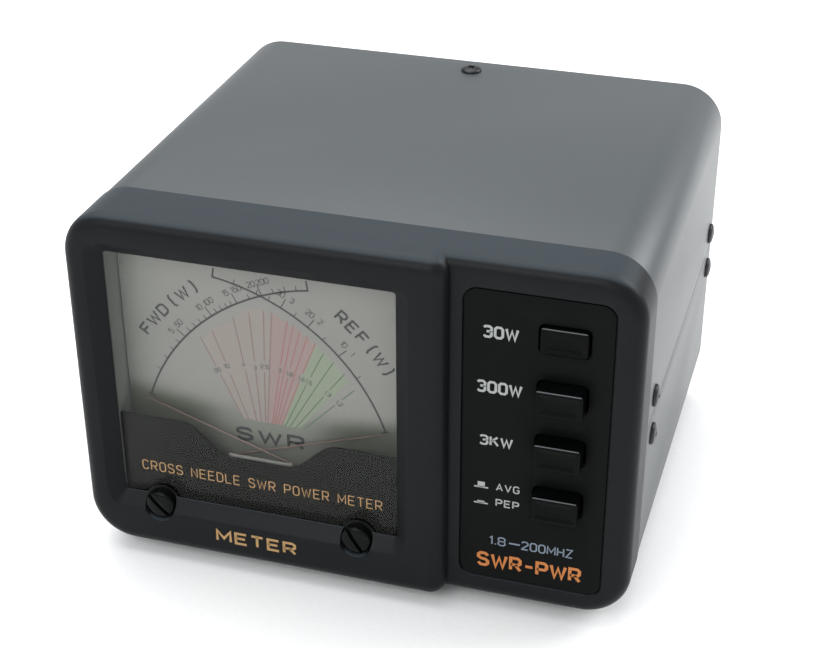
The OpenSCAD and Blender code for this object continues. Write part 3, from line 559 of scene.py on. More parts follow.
def piece(name, mesh, finish, body="case", replaces=(), sharp=32.0):
    """Turns a bmesh into a finished piece that rides on a body."""
    bmesh.ops.remove_doubles(mesh, verts=mesh.verts, dist=1e-7)
    for face in mesh.faces:
        face.smooth = True
    for edge in mesh.edges:
        if len(edge.link_faces) != 2 or edge.calc_face_angle(0) > math.radians(sharp):
            edge.smooth = False
    data = bpy.data.meshes.new(name)
    mesh.to_mesh(data)
    mesh.free()
    data.materials.append(finish.material)
    made = bpy.data.objects.new(name, data)
    bpy.context.scene.collection.objects.link(made)
    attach(made, body)
    if replaces:
        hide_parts(*replaces)
    made_pieces.append(made)
    print(f"  {name}: {len(data.polygons)} faces on {body}")
    return made


# %% [markdown]
# ## Hidden works
# The yokes, coils, boards and springs inside are already the right shape in the engineering model.
# They only need their finishes, which go straight onto their own material slots.

# %% Finishes for the pieces that keep their engineering shape
inner_finish = {
    housing_grey: ["meter_housing"],
    circuit_green: ["lamp_board", "switch_board", "sensor_board", "main_board"],
    zinc: ["chassis_tray", "latch_bar"],
    soft_iron: ["fwd_yoke", "ref_yoke"],
    magnet: ["fwd_core", "ref_core"],
    copper: ["fwd_coil", "ref_coil"],
    bronze: ["fwd_hairspring", "ref_hairspring"],
    brass: ["fwd_zero_lever", "ref_zero_lever"],
    plunger_white: ["plunger_30w", "plunger_300w", "plunger_3kw", "plunger_avg_pep"],
    switch_blue: ["switch_bank"],
    tinplate: ["sensor_can", "sensor_lid"],
    gold: ["through_line"],
    ferrite: ["toroid_core"],
    chip_black: ["board_parts"],
    trimmer_cream: ["fwd_trimmer", "ref_trimmer"],
}
for finish, nodes in inner_finish.items():
    for name in nodes:
        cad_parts[name].data.materials.clear()
        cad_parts[name].data.materials.append(finish.material)
print("finished in place:", sum(len(nodes) for nodes in inner_finish.values()), "nodes")

# %% [markdown]
# ## The front bezel
# One moulding makes the whole front. The meter face stands almost five millimetres proud of the
# button face, so the moulding is two soft-edged blocks joined together, hollowed from behind, and
# opened for the window, the buttons and the two zero screws. The window has a bevelled frame,
# which is a cutter that shrinks as it goes in; the first steps of that cutter round its lip.

# %% Bezel blocks
STEP_X, STEP_D = 27.7, 4.76
EDGE_R, WALL = 4.0, 2.6
CORNER_R = 13.0
DIAL_X = -26.4
WINDOW = (DIAL_X - 40.35, DIAL_X + 40.35, 16.3, 92.0, 1.0)
BEVEL_W, BEVEL_D = 4.0, 3.4
ZERO_X, ZERO_Z = 29.1, 14.1
PRINT = 0.05

meter_block = loft((-HALF_W, STEP_X, 0, CASE_H, (4.5, 4.5, CORNER_R, CORNER_R)),
                   soft_edge(EDGE_R, PRINT, 10) + [(0, BEZEL_BACK - 0.35), (-0.25, BEZEL_BACK)], 16)
button_block = loft((10, HALF_W, 0, CASE_H, (CORNER_R, CORNER_R, 4.5, 4.5)),
                    soft_edge(EDGE_R, STEP_D, 10) + [(0, BEZEL_BACK - 0.35), (-0.25, BEZEL_BACK)], 16)
bezel = cut(meter_block, button_block, join=True)
print("bezel blocks joined:", len(bezel.faces), "faces")

# %% Bezel openings
PLATE = (31.0, 70.2, 6.8, 96.0, 4.0)
BUTTON_X, BUTTON_Z = 57.35, [84.0, 67.8, 51.6, 35.4]
CAP_W, CAP_H = 12.3, 7.3


def button_opening(k, lip):
    """Cutter for one button's opening, with a small rounded lip at depth lip."""
    shape = (BUTTON_X - CAP_W / 2 - 0.5, BUTTON_X + CAP_W / 2 + 0.5,
             BUTTON_Z[k] - CAP_H / 2 - 0.5, BUTTON_Z[k] + CAP_H / 2 + 0.5, 1.5)
    return loft(shape, [(0.7, lip - 1), (0.35, lip), (0.1, lip + 0.12), (0, lip + 0.35), (0, lip + 9)], 6)


window_cutter = loft(WINDOW, [
    (BEVEL_W + 0.9, -1.0), (BEVEL_W + 0.55, 0.0), (BEVEL_W + 0.2, 0.08), (BEVEL_W - 0.15, 0.28),
    (0.35, BEVEL_D - 0.3), (0.1, BEVEL_D - 0.12), (0.0, BEVEL_D + 0.05), (0.0, BEVEL_D + 5)], 8)
hollow = loft((-HALF_W, HALF_W, 0, CASE_H, CORNER_R), [(-WALL, 7.36), (-WALL, 30)], 16)
pocket = loft((-HALF_W + WALL, STEP_X - 2.5, WALL, CASE_H - WALL, 8), [(0, BEVEL_D), (0, 9)], 8)
plate_cutter = loft(PLATE, [(0.5, STEP_D - 1), (0.3, STEP_D), (0.08, STEP_D + 0.1),
                            (0, STEP_D + 0.3), (0, STEP_D + 1)], 10)
zero_holes = [stand(turned([(4.95, -1), (4.75, 0), (4.6, 0.3), (4.6, 6)]),
                    at(DIAL_X + side * ZERO_X, 0, ZERO_Z), (0, 1, 0)) for side in (-1, 1)]
bezel = cut(bezel, hollow, pocket, window_cutter, plate_cutter, *zero_holes,
            *[button_opening(k, STEP_D + 1) for k in range(4)])
piece("bezel_moulding", bezel, bezel_black, replaces=["front_bezel"])

# %% [markdown]
# ## The button face
# A separate thin plate lies in its own pocket, which leaves the fine dark groove that outlines it.
# Its edges are barely broken, so that the groove catches one thin line of light.

# %% Button face
x0, x1, z0, z1, r = PLATE
GROOVE = 0.35
face_shape = (x0 + GROOVE, x1 - GROOVE, z0 + GROOVE, z1 - GROOVE, r - GROOVE)
face_plate = slab(face_shape, STEP_D + 0.2, STEP_D + 1, 0.18, 0.05)
face_plate = cut(face_plate, *[button_opening(k, STEP_D + 0.2) for k in range(4)])
piece("button_face", face_plate, face_black, replaces=["control_plate"])

# %% [markdown]
# ## Buttons
# Each cap is a soft-edged block with a dished face inside a narrow rim, which shows a finger where
# to press. The dish is a shallow loft pressed into the front. The pressed button is the same cap;
# the engineering model holds it further in, so its own box says where its face lies.


# %% Button caps
def cap(name):
    low, high = size_of(name)
    shape = (low.x, high.x, low.z, high.z, 1.0)
    body = loft(shape, soft_edge(0.6, low.y, 6) + [(0, high.y - 0.2), (-0.2, high.y)], 6)
    dish = loft(shape, [(-0.7, low.y - 1), (-0.95, low.y), (-1.15, low.y + 0.12), (-1.5, low.y + 0.3),
                        (-2.3, low.y + 0.46), (-3.2, low.y + 0.52)], 6)
    middle_x, middle_z = (low.x + high.x) / 2, (low.z + high.z) / 2
    bore = box(middle_x - 2.05, middle_x + 2.05, high.y - 5, high.y + 1, middle_z - 2.05, middle_z + 2.05)
    return cut(body, dish, bore)


for key in ("30w", "300w", "3kw", "avg_pep"):
    piece("cap_" + key, cap("button_" + key), button_black, "key_" + key, ["button_" + key])

# %% [markdown]
# ## The lens
# The lens is clear acrylic. Real refraction would only shift the dial by half a millimetre but
# would keep the light off it, so the lens is a mix: mostly see-through, with a mirror share that
# grows at low angles with the fifth power, as Schlick's rule has it. A faint haze of wiping marks
# makes the reflection uneven. The lens is hidden from scattered light, which passes it untouched.

# %% Clear acrylic
clear_acrylic = Finish("clear_lens", (0.9, 0.92, 0.92), 0.04)
wiped = clear_acrylic.mottle(9, 4.0, (1, 1, 4))
clear_acrylic.set({"Base Color": (0.9, 0.91, 0.92), "Metallic": 1.0,
                   "Roughness": (0.02 + wiped * 0.03).held()})
see_through = clear_acrylic.tree.nodes.new("ShaderNodeBsdfTransparent")
see_through.inputs["Color"].default_value = (0.97, 0.975, 0.97, 1)
glance = clear_acrylic.node("ShaderNodeLayerWeight", {}, {"Blend": 0.5})["Facing"]
share = glance ** 5.0 * 0.966 + 0.034
mixed = clear_acrylic.tree.nodes.new("ShaderNodeMixShader")
clear_acrylic.put(mixed.inputs[0], (share * 0.3).held())
clear_acrylic.tree.links.new(see_through.outputs[0], mixed.inputs[1])
clear_acrylic.tree.links.new(clear_acrylic.shader.outputs[0], mixed.inputs[2])
clear_acrylic.tree.links.new(mixed.outputs[0], clear_acrylic.output.inputs["Surface"])

lens_low, lens_high = size_of("meter_lens")
lens = slab((lens_low.x, lens_high.x, lens_low.z, lens_high.z, 1.5), lens_low.y, lens_high.y, 0.2)
lens = cut(lens, *[stand(turned([(5.6, -3), (5.6, 9)]), at(DIAL_X + side * ZERO_X, 0, ZERO_Z), (0, 1, 0))
                   for side in (-1, 1)])
lens_piece = piece("lens", lens, clear_acrylic, replaces=["meter_lens"])
lens_piece.visible_diffuse = False

# %% [markdown]
# ## The mask
# A black sheet hides the movements. Its top edge has two level shoulders and a dip between them,
# joined by S-curves, so the edge is written as a smooth step in x. A second, thin step follows
# inside the dip: the moulded edge of the housing behind, which catches a little light.

# %% Mask edge
SHOULDER_Z, DIP_Z = 40.4, 31.2
DIP_IN, DIP_OUT = 8.0, 22.5


def mask_edge(x):
    """Height of the mask's top edge at x from the dial's middle."""
    t = min(max((abs(x) - DIP_IN) / (DIP_OUT - DIP_IN), 0), 1)
    return DIP_Z + (SHOULDER_Z - DIP_Z) * t * t * (3 - 2 * t)


def mask_sheet(front, back):
    """A sheet as wide as the engineering one, under the wavy edge."""
    low, high = size_of("meter_mask")
    reach = (high.x - low.x) / 2
    xs = [reach * (2 * i / 96 - 1) for i in range(97)]
    top = [(x, mask_edge(x)) for x in xs]
    ring = [(-reach, low.z)] + top + [(reach, low.z)]
    return skin([[at(DIAL_X + x, y, z) for x, z in ring] for y in (front, back)])


mask_low, mask_high = size_of("meter_mask")
mask_holes = [stand(turned([(2.4, -3), (2.4, 12)]), at(DIAL_X + side * ZERO_X, 0, ZERO_Z), (0, 1, 0))
              for side in (-1, 1)]
mask = cut(mask_sheet(mask_low.y + 0.04, mask_high.y), *mask_holes)
piece("mask", softened(mask, 0.12, 60), mask_black, replaces=["meter_mask"])

lip_grey = moulded("mask_lip", tone(104, 104, 99), 0.35, 0.6, 0.006)
lip = skin([[at(DIAL_X + x, mask_high.y + y, mask_edge(x) + z)
             for x in [DIP_IN * 1.15 * (2 * i / 40 - 1) for i in range(41)]]
            for y, z in ((0.3, -1.2), (0.3, 0.42), (0.5, 0.6), (0.9, 0.6), (0.9, -1.2))],
           close_ends=False, closed=False)
piece("mask_lip", lip, lip_grey)

# %% [markdown]
# ## The dial
# The dial is translucent plastic with a silvery ground, printed in black, red and green. The
# ground is a fine sparkle of flakes over a pale grey. The housing shades its lower edge and its
# left side. Both shadows are painted here as darker colour, so they don't move with the light.

# %% Dial ground
DIAL_Y = size_of("dial_plate")[0].y
dial_silver = Finish("dial_print", tone(184, 185, 181), 0.42)
flakes = dial_silver.mottle(0.22, 1.0)
clouded = dial_silver.mottle(30, 2.0)
where = dial_silver.node("ShaderNodeSeparateXYZ", {}, {"Vector": dial_silver.place})
sideways = (where["X"] - DIAL_X * MM) / MM
height = (where["Z"] - BASE_Z) / MM
curve = height - sideways * sideways * 0.0024
band = dial_silver.node("ShaderNodeMapRange", {"interpolation_type": "SMOOTHSTEP"},
                        {"Value": curve, 1: 39.5, 2: 46.5, 3: 0.0, 4: 1.0})["Result"]
edge = dial_silver.node("ShaderNodeMapRange", {"interpolation_type": "SMOOTHSTEP"},
                        {"Value": sideways, 1: -42.0, 2: -24.0, 3: 0.0, 4: 1.0})["Result"]
silver = dial_silver.blend(flakes * 0.5 + clouded * 0.5, tone(112, 111, 107), tone(128, 127, 122))
shaded = dial_silver.blend(edge, tone(116, 118, 112), silver)
beside = dial_silver.node("ShaderNodeMapRange", {"interpolation_type": "SMOOTHSTEP"}, {
    "Value": dial_silver.node("ShaderNodeMath", {"operation": "ABSOLUTE"}, {0: sideways})["Value"],
    1: 10.0, 2: 26.0, 3: 0.0, 4: 1.0})["Result"]
low_band = dial_silver.blend(beside, tone(102, 104, 96), tone(76, 78, 68))
dial_silver.set({"Base Color": dial_silver.blend(band, low_band, shaded),
                 "Roughness": (0.36 + flakes * 0.2).held()})
dial_silver.bump(flakes, 0.003)
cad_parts["dial_plate"].data.materials.clear()
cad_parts["dial_plate"].data.materials.append(dial_silver.material)

# %% [markdown]
# ## Where the scales lie
# Each needle turns about its own pivot, and its scale is an arc round that pivot. A diode detector
# moves its needle by a power law a little above the square root. The standing-wave ratio follows
# from both readings: the reflected share is ((S - 1) / (S + 1)) squared, so every ratio S is one
# curve through the places where the two needles cross, and the whole fan can be worked out.

# %% Scale geometry
PIVOT_DX, PIVOT_Z = 22.8, 24.0
ARC_R, ZERO_DEG, SWEEP_DEG = 60.4, 18.7, 62.4
FULL_POWER = {1: 30.0, -1: 6.0}
POWER_LAW = {1: 0.57, -1: 0.53}
FAN_LOW, FAN_OUT = 40.0, 58.2
INK_Y = DIAL_Y - 0.03


def needle_ray(side, share):
    """Unit direction of a needle: side 1 is the forward one, which points left from the right."""
    turn = math.radians(ZERO_DEG + SWEEP_DEG * share)
    return -side * math.cos(turn), math.sin(turn)


def on_scale(side, share, radius=ARC_R):
    """A place (x, z) on a scale, with x from the dial's middle."""
    dx, dz = needle_ray(side, share)
    return side * PIVOT_DX + radius * dx, PIVOT_Z + radius * dz


def crossing(forward_share, reflected_share):
    """Where the two needles cross, and how far that is from each pivot."""
    ax, az = needle_ray(1, forward_share)
    bx, bz = needle_ray(-1, reflected_share)
    along_a = 2 * PIVOT_DX * bz / (az * bx - ax * bz)
    along_b = along_a * az / bz
    return (PIVOT_DX + along_a * ax, PIVOT_Z + along_a * az), along_a, along_b


def share_of(side, power):
    """How far along its scale a needle stands at a power in watts."""
    return (power / FULL_POWER[side]) ** POWER_LAW[side]


def ratio_curve(ratio, steps=110):
    """Places on the curve for one standing-wave ratio, between the words and the scales."""
    reflection = (ratio - 1) / (ratio + 1) if ratio else 1.0
    places = []
    for i in range(steps + 1):
        forward_share = 0.05 + 1.3 * i / steps
        forward = FULL_POWER[1] * forward_share ** (1 / POWER_LAW[1])
        place, along_a, along_b = crossing(forward_share, share_of(-1, forward * reflection ** 2))
        if place[1] > FAN_LOW and 0 < min(along_a, along_b) and max(along_a, along_b) < FAN_OUT:
            places.append(place)
        elif places:
            break
    return places


print("needles cross at full scale at", [round(v, 1) for v in crossing(1, 1)[0]])

# %% [markdown]
# ## Printing
# Ink is a real layer, so each colour is one thin sheet of geometry just in front of the dial. Lines
# are ribbons along their places, zones fill between two neighbouring curves, and figures are
# pen strokes. The inks are matt, with a faint screen-print texture.


# %% Inks
def ink(name, colour, roughness=0.5):
    finish = Finish(name, colour, roughness)
    mesh_pattern = finish.mottle(0.15, 1.0)
    finish.set({"Base Color": finish.blend(mesh_pattern, tuple(c * 0.85 for c in colour),
                                           tuple(min(c * 1.15, 1) for c in colour))})
    return finish


ink_black = ink("ink_black", tone(42, 44, 44))
ink_grey = ink("ink_grey", tone(70, 71, 69))
ink_red = ink("ink_red", tone(132, 88, 88))
ink_brown = ink("ink_brown", tone(112, 92, 88))
ink_green = ink("ink_green", tone(80, 98, 74))
zone_beige = ink("zone_beige", tone(128, 120, 114))
zone_pink = ink("zone_pink", tone(131, 113, 109))
zone_green = ink("zone_green", tone(118, 127, 109))
print_gold = ink("print_gold", tone(158, 124, 76), 0.4)
print_orange = ink("print_orange", tone(168, 98, 34), 0.4)
print_white = ink("print_white", tone(142, 145, 144), 0.5)
print_blue = ink("print_blue", tone(100, 112, 126), 0.5)


def ribbon(mesh, places, width, y):
    """Adds a flat line of the given width along (x, z) places, with mitred corners."""
    normals = []
    for a, b in zip(places, places[1:]):
        length = math.hypot(b[0] - a[0], b[1] - a[1]) or 1
        normals.append((-(b[1] - a[1]) / length, (b[0] - a[0]) / length))
    looped = math.hypot(places[0][0] - places[-1][0], places[0][1] - places[-1][1]) < 1e-6
    rows = []
    for i, (x, z) in enumerate(places):
        before = normals[i - 1] if i or looped else normals[0]
        after = normals[i] if i < len(normals) else (normals[0] if looped else normals[-1])
        nx, nz = before[0] + after[0], before[1] + after[1]
        size = math.hypot(nx, nz) or 1
        reach = width / 2 / max(size / 2, 0.55)
        nx, nz = nx / size * reach, nz / size * reach
        rows.append((mesh.verts.new(at(x + nx, y, z + nz)), mesh.verts.new(at(x - nx, y, z - nz))))
    for a, b in zip(rows, rows[1:]):
        mesh.faces.new((a[0], b[0], b[1], a[1]))


# %% [markdown]
# Instrument lettering is wide, upright and squared, with chamfered corners. Each letter here is a
# few strokes of the pen on a grid six units high, so any word can be drawn at any weight.

# %% A pen alphabet
ROUND = [(1, 0), (3, 0), (4, 1), (4, 5), (3, 6), (1, 6), (0, 5), (0, 1), (1, 0)]
BOWL = [(0, 0), (0, 6), (3.1, 6), (4, 5.2), (4, 3.5), (3.1, 2.7), (0, 2.7)]
PEN = {
    "0": [ROUND], "O": [ROUND],
    "1": [[(0.9, 4.8), (2.2, 6), (2.2, 0)]],
    "2": [[(0, 5), (1, 6), (3, 6), (4, 5), (4, 4), (0, 0.3), (0, 0), (4, 0)]],
    "3": [[(0, 5.2), (0.9, 6), (3, 6), (4, 5.2), (4, 3.9), (3, 3.1), (1.4, 3.1)],
          [(3, 3.1), (4, 2.3), (4, 0.9), (3, 0), (0.9, 0), (0, 0.8)]],
    "4": [[(3, 0), (3, 6), (0, 1.8), (4.2, 1.8)]],
    "5": [[(3.9, 6), (0.3, 6), (0.1, 3.2), (1, 3.7), (3, 3.7), (4, 2.8), (4, 1), (3, 0), (1, 0), (0, 0.8)]],
    "6": [[(3.6, 6), (1.4, 6), (0, 4.6), (0, 1), (1, 0), (3, 0), (4, 1), (4, 2.6), (3, 3.6), (0, 3.4)]],
    "7": [[(0, 6), (4, 6), (1.4, 0)]],
    "8": [[(1, 3.1), (0, 4), (0, 5.2), (1, 6), (3, 6), (4, 5.2), (4, 4), (3, 3.1), (1, 3.1), (0, 2.2),
           (0, 0.9), (1, 0), (3, 0), (4, 0.9), (4, 2.2), (3, 3.1)]],
    "9": [[(0.4, 0), (2.6, 0), (4, 1.4), (4, 5), (3, 6), (1, 6), (0, 5), (0, 3.4), (1, 2.4), (4, 2.6)]],
    "A": [[(0, 0), (2.2, 6), (4.4, 0)], [(0.8, 1.9), (3.6, 1.9)]],
    "C": [[(4, 4.8), (3, 6), (1, 6), (0, 5), (0, 1), (1, 0), (3, 0), (4, 1.2)]],
    "D": [[(0, 0), (0, 6), (2.8, 6), (4, 4.8), (4, 1.2), (2.8, 0), (0, 0)]],
    "E": [[(4, 6), (0, 6), (0, 0), (4, 0)], [(0, 3.1), (3.5, 3.1)]],
    "F": [[(4, 6), (0, 6), (0, 0)], [(0, 3), (3.4, 3)]],
    "G": [[(4, 5), (3, 6), (1, 6), (0, 5), (0, 1), (1, 0), (3, 0), (4, 1), (4, 2.8), (2.4, 2.8)]],
    "H": [[(0, 0), (0, 6)], [(4, 0), (4, 6)], [(0, 3.1), (4, 3.1)]],
    "I": [[(0.4, 0), (0.4, 6)]],
    "K": [[(0, 0), (0, 6)], [(3.9, 6), (0.2, 2.4)], [(1.5, 3.7), (4.2, 0)]],
    "L": [[(0, 6), (0, 0), (3.7, 0)]],
    "M": [[(0, 0), (0, 6), (2.5, 1.6), (5, 6), (5, 0)]],
    "N": [[(0, 0), (0, 6), (4, 0), (4, 6)]],
    "P": [BOWL],
    "R": [BOWL, [(2, 2.7), (4.1, 0)]],
    "S": [[(4, 4.9), (3, 6), (1, 6), (0, 5.1), (0, 4), (1, 3.2), (3, 2.9), (4, 2.1), (4, 0.9), (3, 0),
           (1, 0), (0, 1.1)]],
    "T": [[(0, 6), (4.2, 6)], [(2.1, 6), (2.1, 0)]],
    "V": [[(0, 6), (2.2, 0), (4.4, 6)]],
    "W": [[(0, 6), (1.5, 0), (3, 5), (4.5, 0), (6, 6)]],
    "X": [[(0, 0), (4, 6)], [(0, 6), (4, 0)]],
    "Z": [[(0, 6), (4, 6), (0, 0), (4, 0)]],
    "(": [[(1.5, 7), (0.6, 5.4), (0.6, 0.6), (1.5, -1)]],
    ")": [[(0.2, 7), (1.1, 5.4), (1.1, 0.6), (0.2, -1)]],
    ".": [[(0.4, 0), (0.4, 0.8)]],
    "-": [[(0.3, 2.9), (3.3, 2.9)]],
    " ": [],
}


def write(mesh, words, x, z, height, y, pen=0.16, wide=1.0, turn=0.0, gap=1.7, mirror=False):
    """Draws words whose foot is centred on (x, z); pen is the stroke's share of the height."""
    unit = height / 6
    widths = [max([px for line in PEN[c] for px, _ in line] or [2.4]) for c in words]
    at_x = -(sum(widths) + gap * (len(words) - 1)) / 2
    turned_by = math.radians(turn)
    for letter, width in zip(words, widths):
        for line in PEN[letter]:
            places = []
            for px, pz in line:
                u, v = (at_x + px) * unit * wide * (-1 if mirror else 1), pz * unit
                places.append((x + u * math.cos(turned_by) - v * math.sin(turned_by),
                               z + u * math.sin(turned_by) + v * math.cos(turned_by)))
            ribbon(mesh, places, pen * height, y)
        at_x += width + gap


def lean_at(side, share):
    """Turn of a figure whose head points away from a scale's pivot, anticlockwise."""
    return side * (90 - ZERO_DEG - SWEEP_DEG * share)


def on_dial(places):
    """Moves places from the dial's middle to the case's middle."""
    return [(DIAL_X + x, z) for x, z in places]


# %% [markdown]
# The two power scales are arcs with ticks outside them. The forward scale is dense and the
# reflected one sparse; both start at zero at their outer ends and cross near the top, each ending
# in a small upright bar.

# %% Power scales
scales = bmesh.new()
for side in (1, -1):
    ribbon(scales, on_dial([on_scale(side, i / 60) for i in range(61)]), 0.56, INK_Y)
    ribbon(scales, on_dial([on_scale(side, 1.0, ARC_R - 0.23), on_scale(side, 1.0, ARC_R + 2.8)]), 0.5, INK_Y)
    ribbon(scales, on_dial([on_scale(side, 0.0, ARC_R - 1.5), on_scale(side, 0.0, ARC_R + 0.9)]), 0.5, INK_Y)

MAIN = {1: {5: ("5", "50"), 10: ("10", "100"), 15: ("15", "150"), 20: ("20", "200")},
        -1: {1: ("1", "10"), 2: ("2", "20"), 3: ("3", "30")}}
MINOR = {1: [1, 2, 3, 4, 6, 7, 8, 9, 11, 12, 13, 14, 17.5, 22.5, 25, 27.5], -1: [0.5, 1.5, 2.5, 3.5, 4, 5]}
for side in (1, -1):
    for power in MINOR[side]:
        share = share_of(side, power)
        ribbon(scales, on_dial([on_scale(side, share), on_scale(side, share, ARC_R + 1.5)]), 0.26, INK_Y)
    for power in MAIN[side]:
        share = share_of(side, power)
        ribbon(scales, on_dial([on_scale(side, share), on_scale(side, share, ARC_R + 3.2)]), 0.3, INK_Y)
piece("dial_scales", scales, ink_black)

# %% [markdown]
# Each main tick carries two small figures, one for a low range and one for a high one, on either
# side of it.

# %% Power figures
power_figures = bmesh.new()
for side, powers in MAIN.items():
    for power, pair in powers.items():
        share = share_of(side, power)
        for figure, aside in zip(pair, (-0.024, 0.027)):
            x, z = on_scale(side, share + aside, ARC_R + 3.1)
            write(power_figures, figure, DIAL_X + x, z, 1.6, INK_Y, 0.2, 0.95, lean_at(side, share), gap=1.2)
piece("power_figures", power_figures, ink_grey)

# %% [markdown]
# ## The fan of ratio curves
# Curves run from close ratios on the right, printed green, through red in the middle to high ratios
# on the left, printed brown. The zones between them carry the same colours, much paler. Each curve
# is broken where its own small figure stands, along one shallow arc.

# %% Ratio curves
FIGURE_X, FIGURE_Z, FIGURE_R = 0.5, 26.0, 32.0
RATIOS = {ink_brown: [0, 10, 4, 3, 2.5, 2.3], ink_red: [2.0, 1.9, 1.8, 1.7, 1.6],
          ink_green: [1.5, 1.4, 1.3, 1.2]}
LABELS = {0: "00", 10: "10", 4: "4", 3: "3", 2.5: "2.5", 2.0: "2", 1.8: "1.8", 1.6: "1.6", 1.5: "1.5",
          1.3: "1.3", 1.2: "1.2"}


def off_figures(place):
    """How far outside the arc of figures a place lies."""
    return math.hypot(place[0] - FIGURE_X, place[1] - FIGURE_Z) - FIGURE_R


figures = bmesh.new()
for finish, ratios in RATIOS.items():
    fan = bmesh.new()
    for ratio in ratios:
        places = ratio_curve(ratio)
        runs = [[p for p in places if off_figures(p) < -1.3], [p for p in places if off_figures(p) > 1.3]]
        if ratio not in LABELS:
            runs = [places]
        for run in runs:
            if len(run) > 1:
                ribbon(fan, on_dial(run), 0.36, INK_Y)
        if ratio in LABELS:
            x, z = min(places, key=lambda p: abs(off_figures(p)))
            lean = -math.degrees(math.atan2(x - FIGURE_X, z - FIGURE_Z)) * 0.9
            write(figures, LABELS[ratio], DIAL_X + x, z - 0.55, 1.15, INK_Y - 0.02, 0.22, 1.0, lean)
    piece(finish.material.name.replace("ink_", "ratio_curves_"), fan, finish)
piece("ratio_figures", figures, ink_grey)


# %% Tinted zones
def zone(name, from_ratio, to_ratio, finish):
    """Fills between two ratio curves."""
    mesh = bmesh.new()
    low = (from_ratio - 1) / (from_ratio + 1) if from_ratio else 1.0
    high = (to_ratio - 1) / (to_ratio + 1)
    rows = []
    for i in range(13):
        reflection = low + (high - low) * i / 12
        places = ratio_curve((1 + reflection) / (1 - reflection) if reflection < 1 else 0)
        rows.append([places[round(k * (len(places) - 1) / 24)] for k in range(25)])
    grid = [[mesh.verts.new(at(DIAL_X + x, DIAL_Y - 0.012, z)) for x, z in row] for row in rows]
    for a, b in zip(grid, grid[1:]):
        for k in range(24):
            mesh.faces.new((a[k], a[k + 1], b[k + 1], b[k]))
    return piece(name, mesh, finish)


zone("zone_high", 0, 2.3, zone_beige)
zone("zone_middle", 2.3, 1.6, zone_pink)
zone("zone_low", 1.6, 1.25, zone_green)

# %% Dial words
dial_words = bmesh.new()
for side, words, first, step in ((1, "FWD(W)", 0.270, 0.056), (-1, "REF(W)", 0.494, -0.051)):
    for i, letter in enumerate(words):
        share = first + step * i
        x, z = on_scale(side, share, ARC_R + 8.0)
        write(dial_words, letter, DIAL_X + x, z, 3.1, INK_Y, 0.21, 1.15, lean_at(side, share))
piece("dial_words", dial_words, ink_black)
ratio_word = bmesh.new()
write(ratio_word, "SWR", DIAL_X + 0.8, 33.4, 3.6, INK_Y, 0.26, 1.75, gap=2.2)
piece("ratio_word", ratio_word, ink_black)

# %% [markdown]
# ## Words on the front
# A gold line on the mask and a short gold title on the bezel say what the meter reads. The words
# are plain descriptions. They lie a few hundredths of a millimetre proud, as screen print does.

# %% Front words
gold_words = bmesh.new()
write(gold_words, "CROSS NEEDLE SWR POWER METER", DIAL_X, 22.7, 2.9, mask_low.y - 0.05, 0.11, 0.86, gap=2.2)
write(gold_words, "METER", DIAL_X, 6.4, 3.4, PRINT / 5, 0.23, 1.4, gap=2.0)
piece("gold_words", gold_words, print_gold)

face_y = STEP_D + 0.16
white_words = bmesh.new()
write(white_words, "30W", 41.0, 82.4, 3.0, face_y, 0.23, 0.98, gap=1.9)
write(white_words, "300W", 41.0, 66.2, 3.0, face_y, 0.23, 0.96, gap=1.9)
write(white_words, "3KW", 40.5, 50.1, 2.6, face_y, 0.23, 1.08, gap=1.9)
write(white_words, "AVG", 44.0, 36.2, 2.0, face_y, 0.19, 1.05, gap=2.2)
write(white_words, "PEP", 44.0, 31.2, 2.0, face_y, 0.19, 1.1, gap=2.2)
for z, standing in ((36.4, 1.7), (31.3, 0.7)):
    ribbon(white_words, [(34.9, z), (38.7, z)], 0.45, face_y)
    ribbon(white_words, [(35.8, z + standing / 2), (37.8, z + standing / 2)], standing, face_y)
piece("white_words", white_words, print_white)

blue_words = bmesh.new()
write(blue_words, "1.8", 41.4, 18.4, 2.5, face_y, 0.16, 1.1)
write(blue_words, "200MHZ", 55.2, 18.4, 2.5, face_y, 0.16, 0.98)
ribbon(blue_words, [(44.8, 19.6), (47.8, 19.6)], 0.5, face_y)
piece("blue_words", blue_words, print_blue)

orange_words = bmesh.new()
write(orange_words, "SWR-PWR", 50.4, 11.0, 3.9, face_y, 0.23, 1.0, gap=1.9)
piece("orange_words", orange_words, print_orange)

# %% [markdown]
# ## Needles
# A needle is a long, thin painted blade with a hub, a tail and a round counterweight behind the
# mask. With no power both rest at zero and cross low, just above the dip. The blade is folded
# along its length in real life, which stiffens it, so its section is a shallow roof.

# %% Needles
needle_paint = Finish("needle_paint", tone(92, 70, 62), 0.4)
chips = needle_paint.mottle(0.8, 4.0)
needle_paint.set({"Base Color": needle_paint.blend(chips, tone(84, 62, 54), tone(100, 78, 69))})


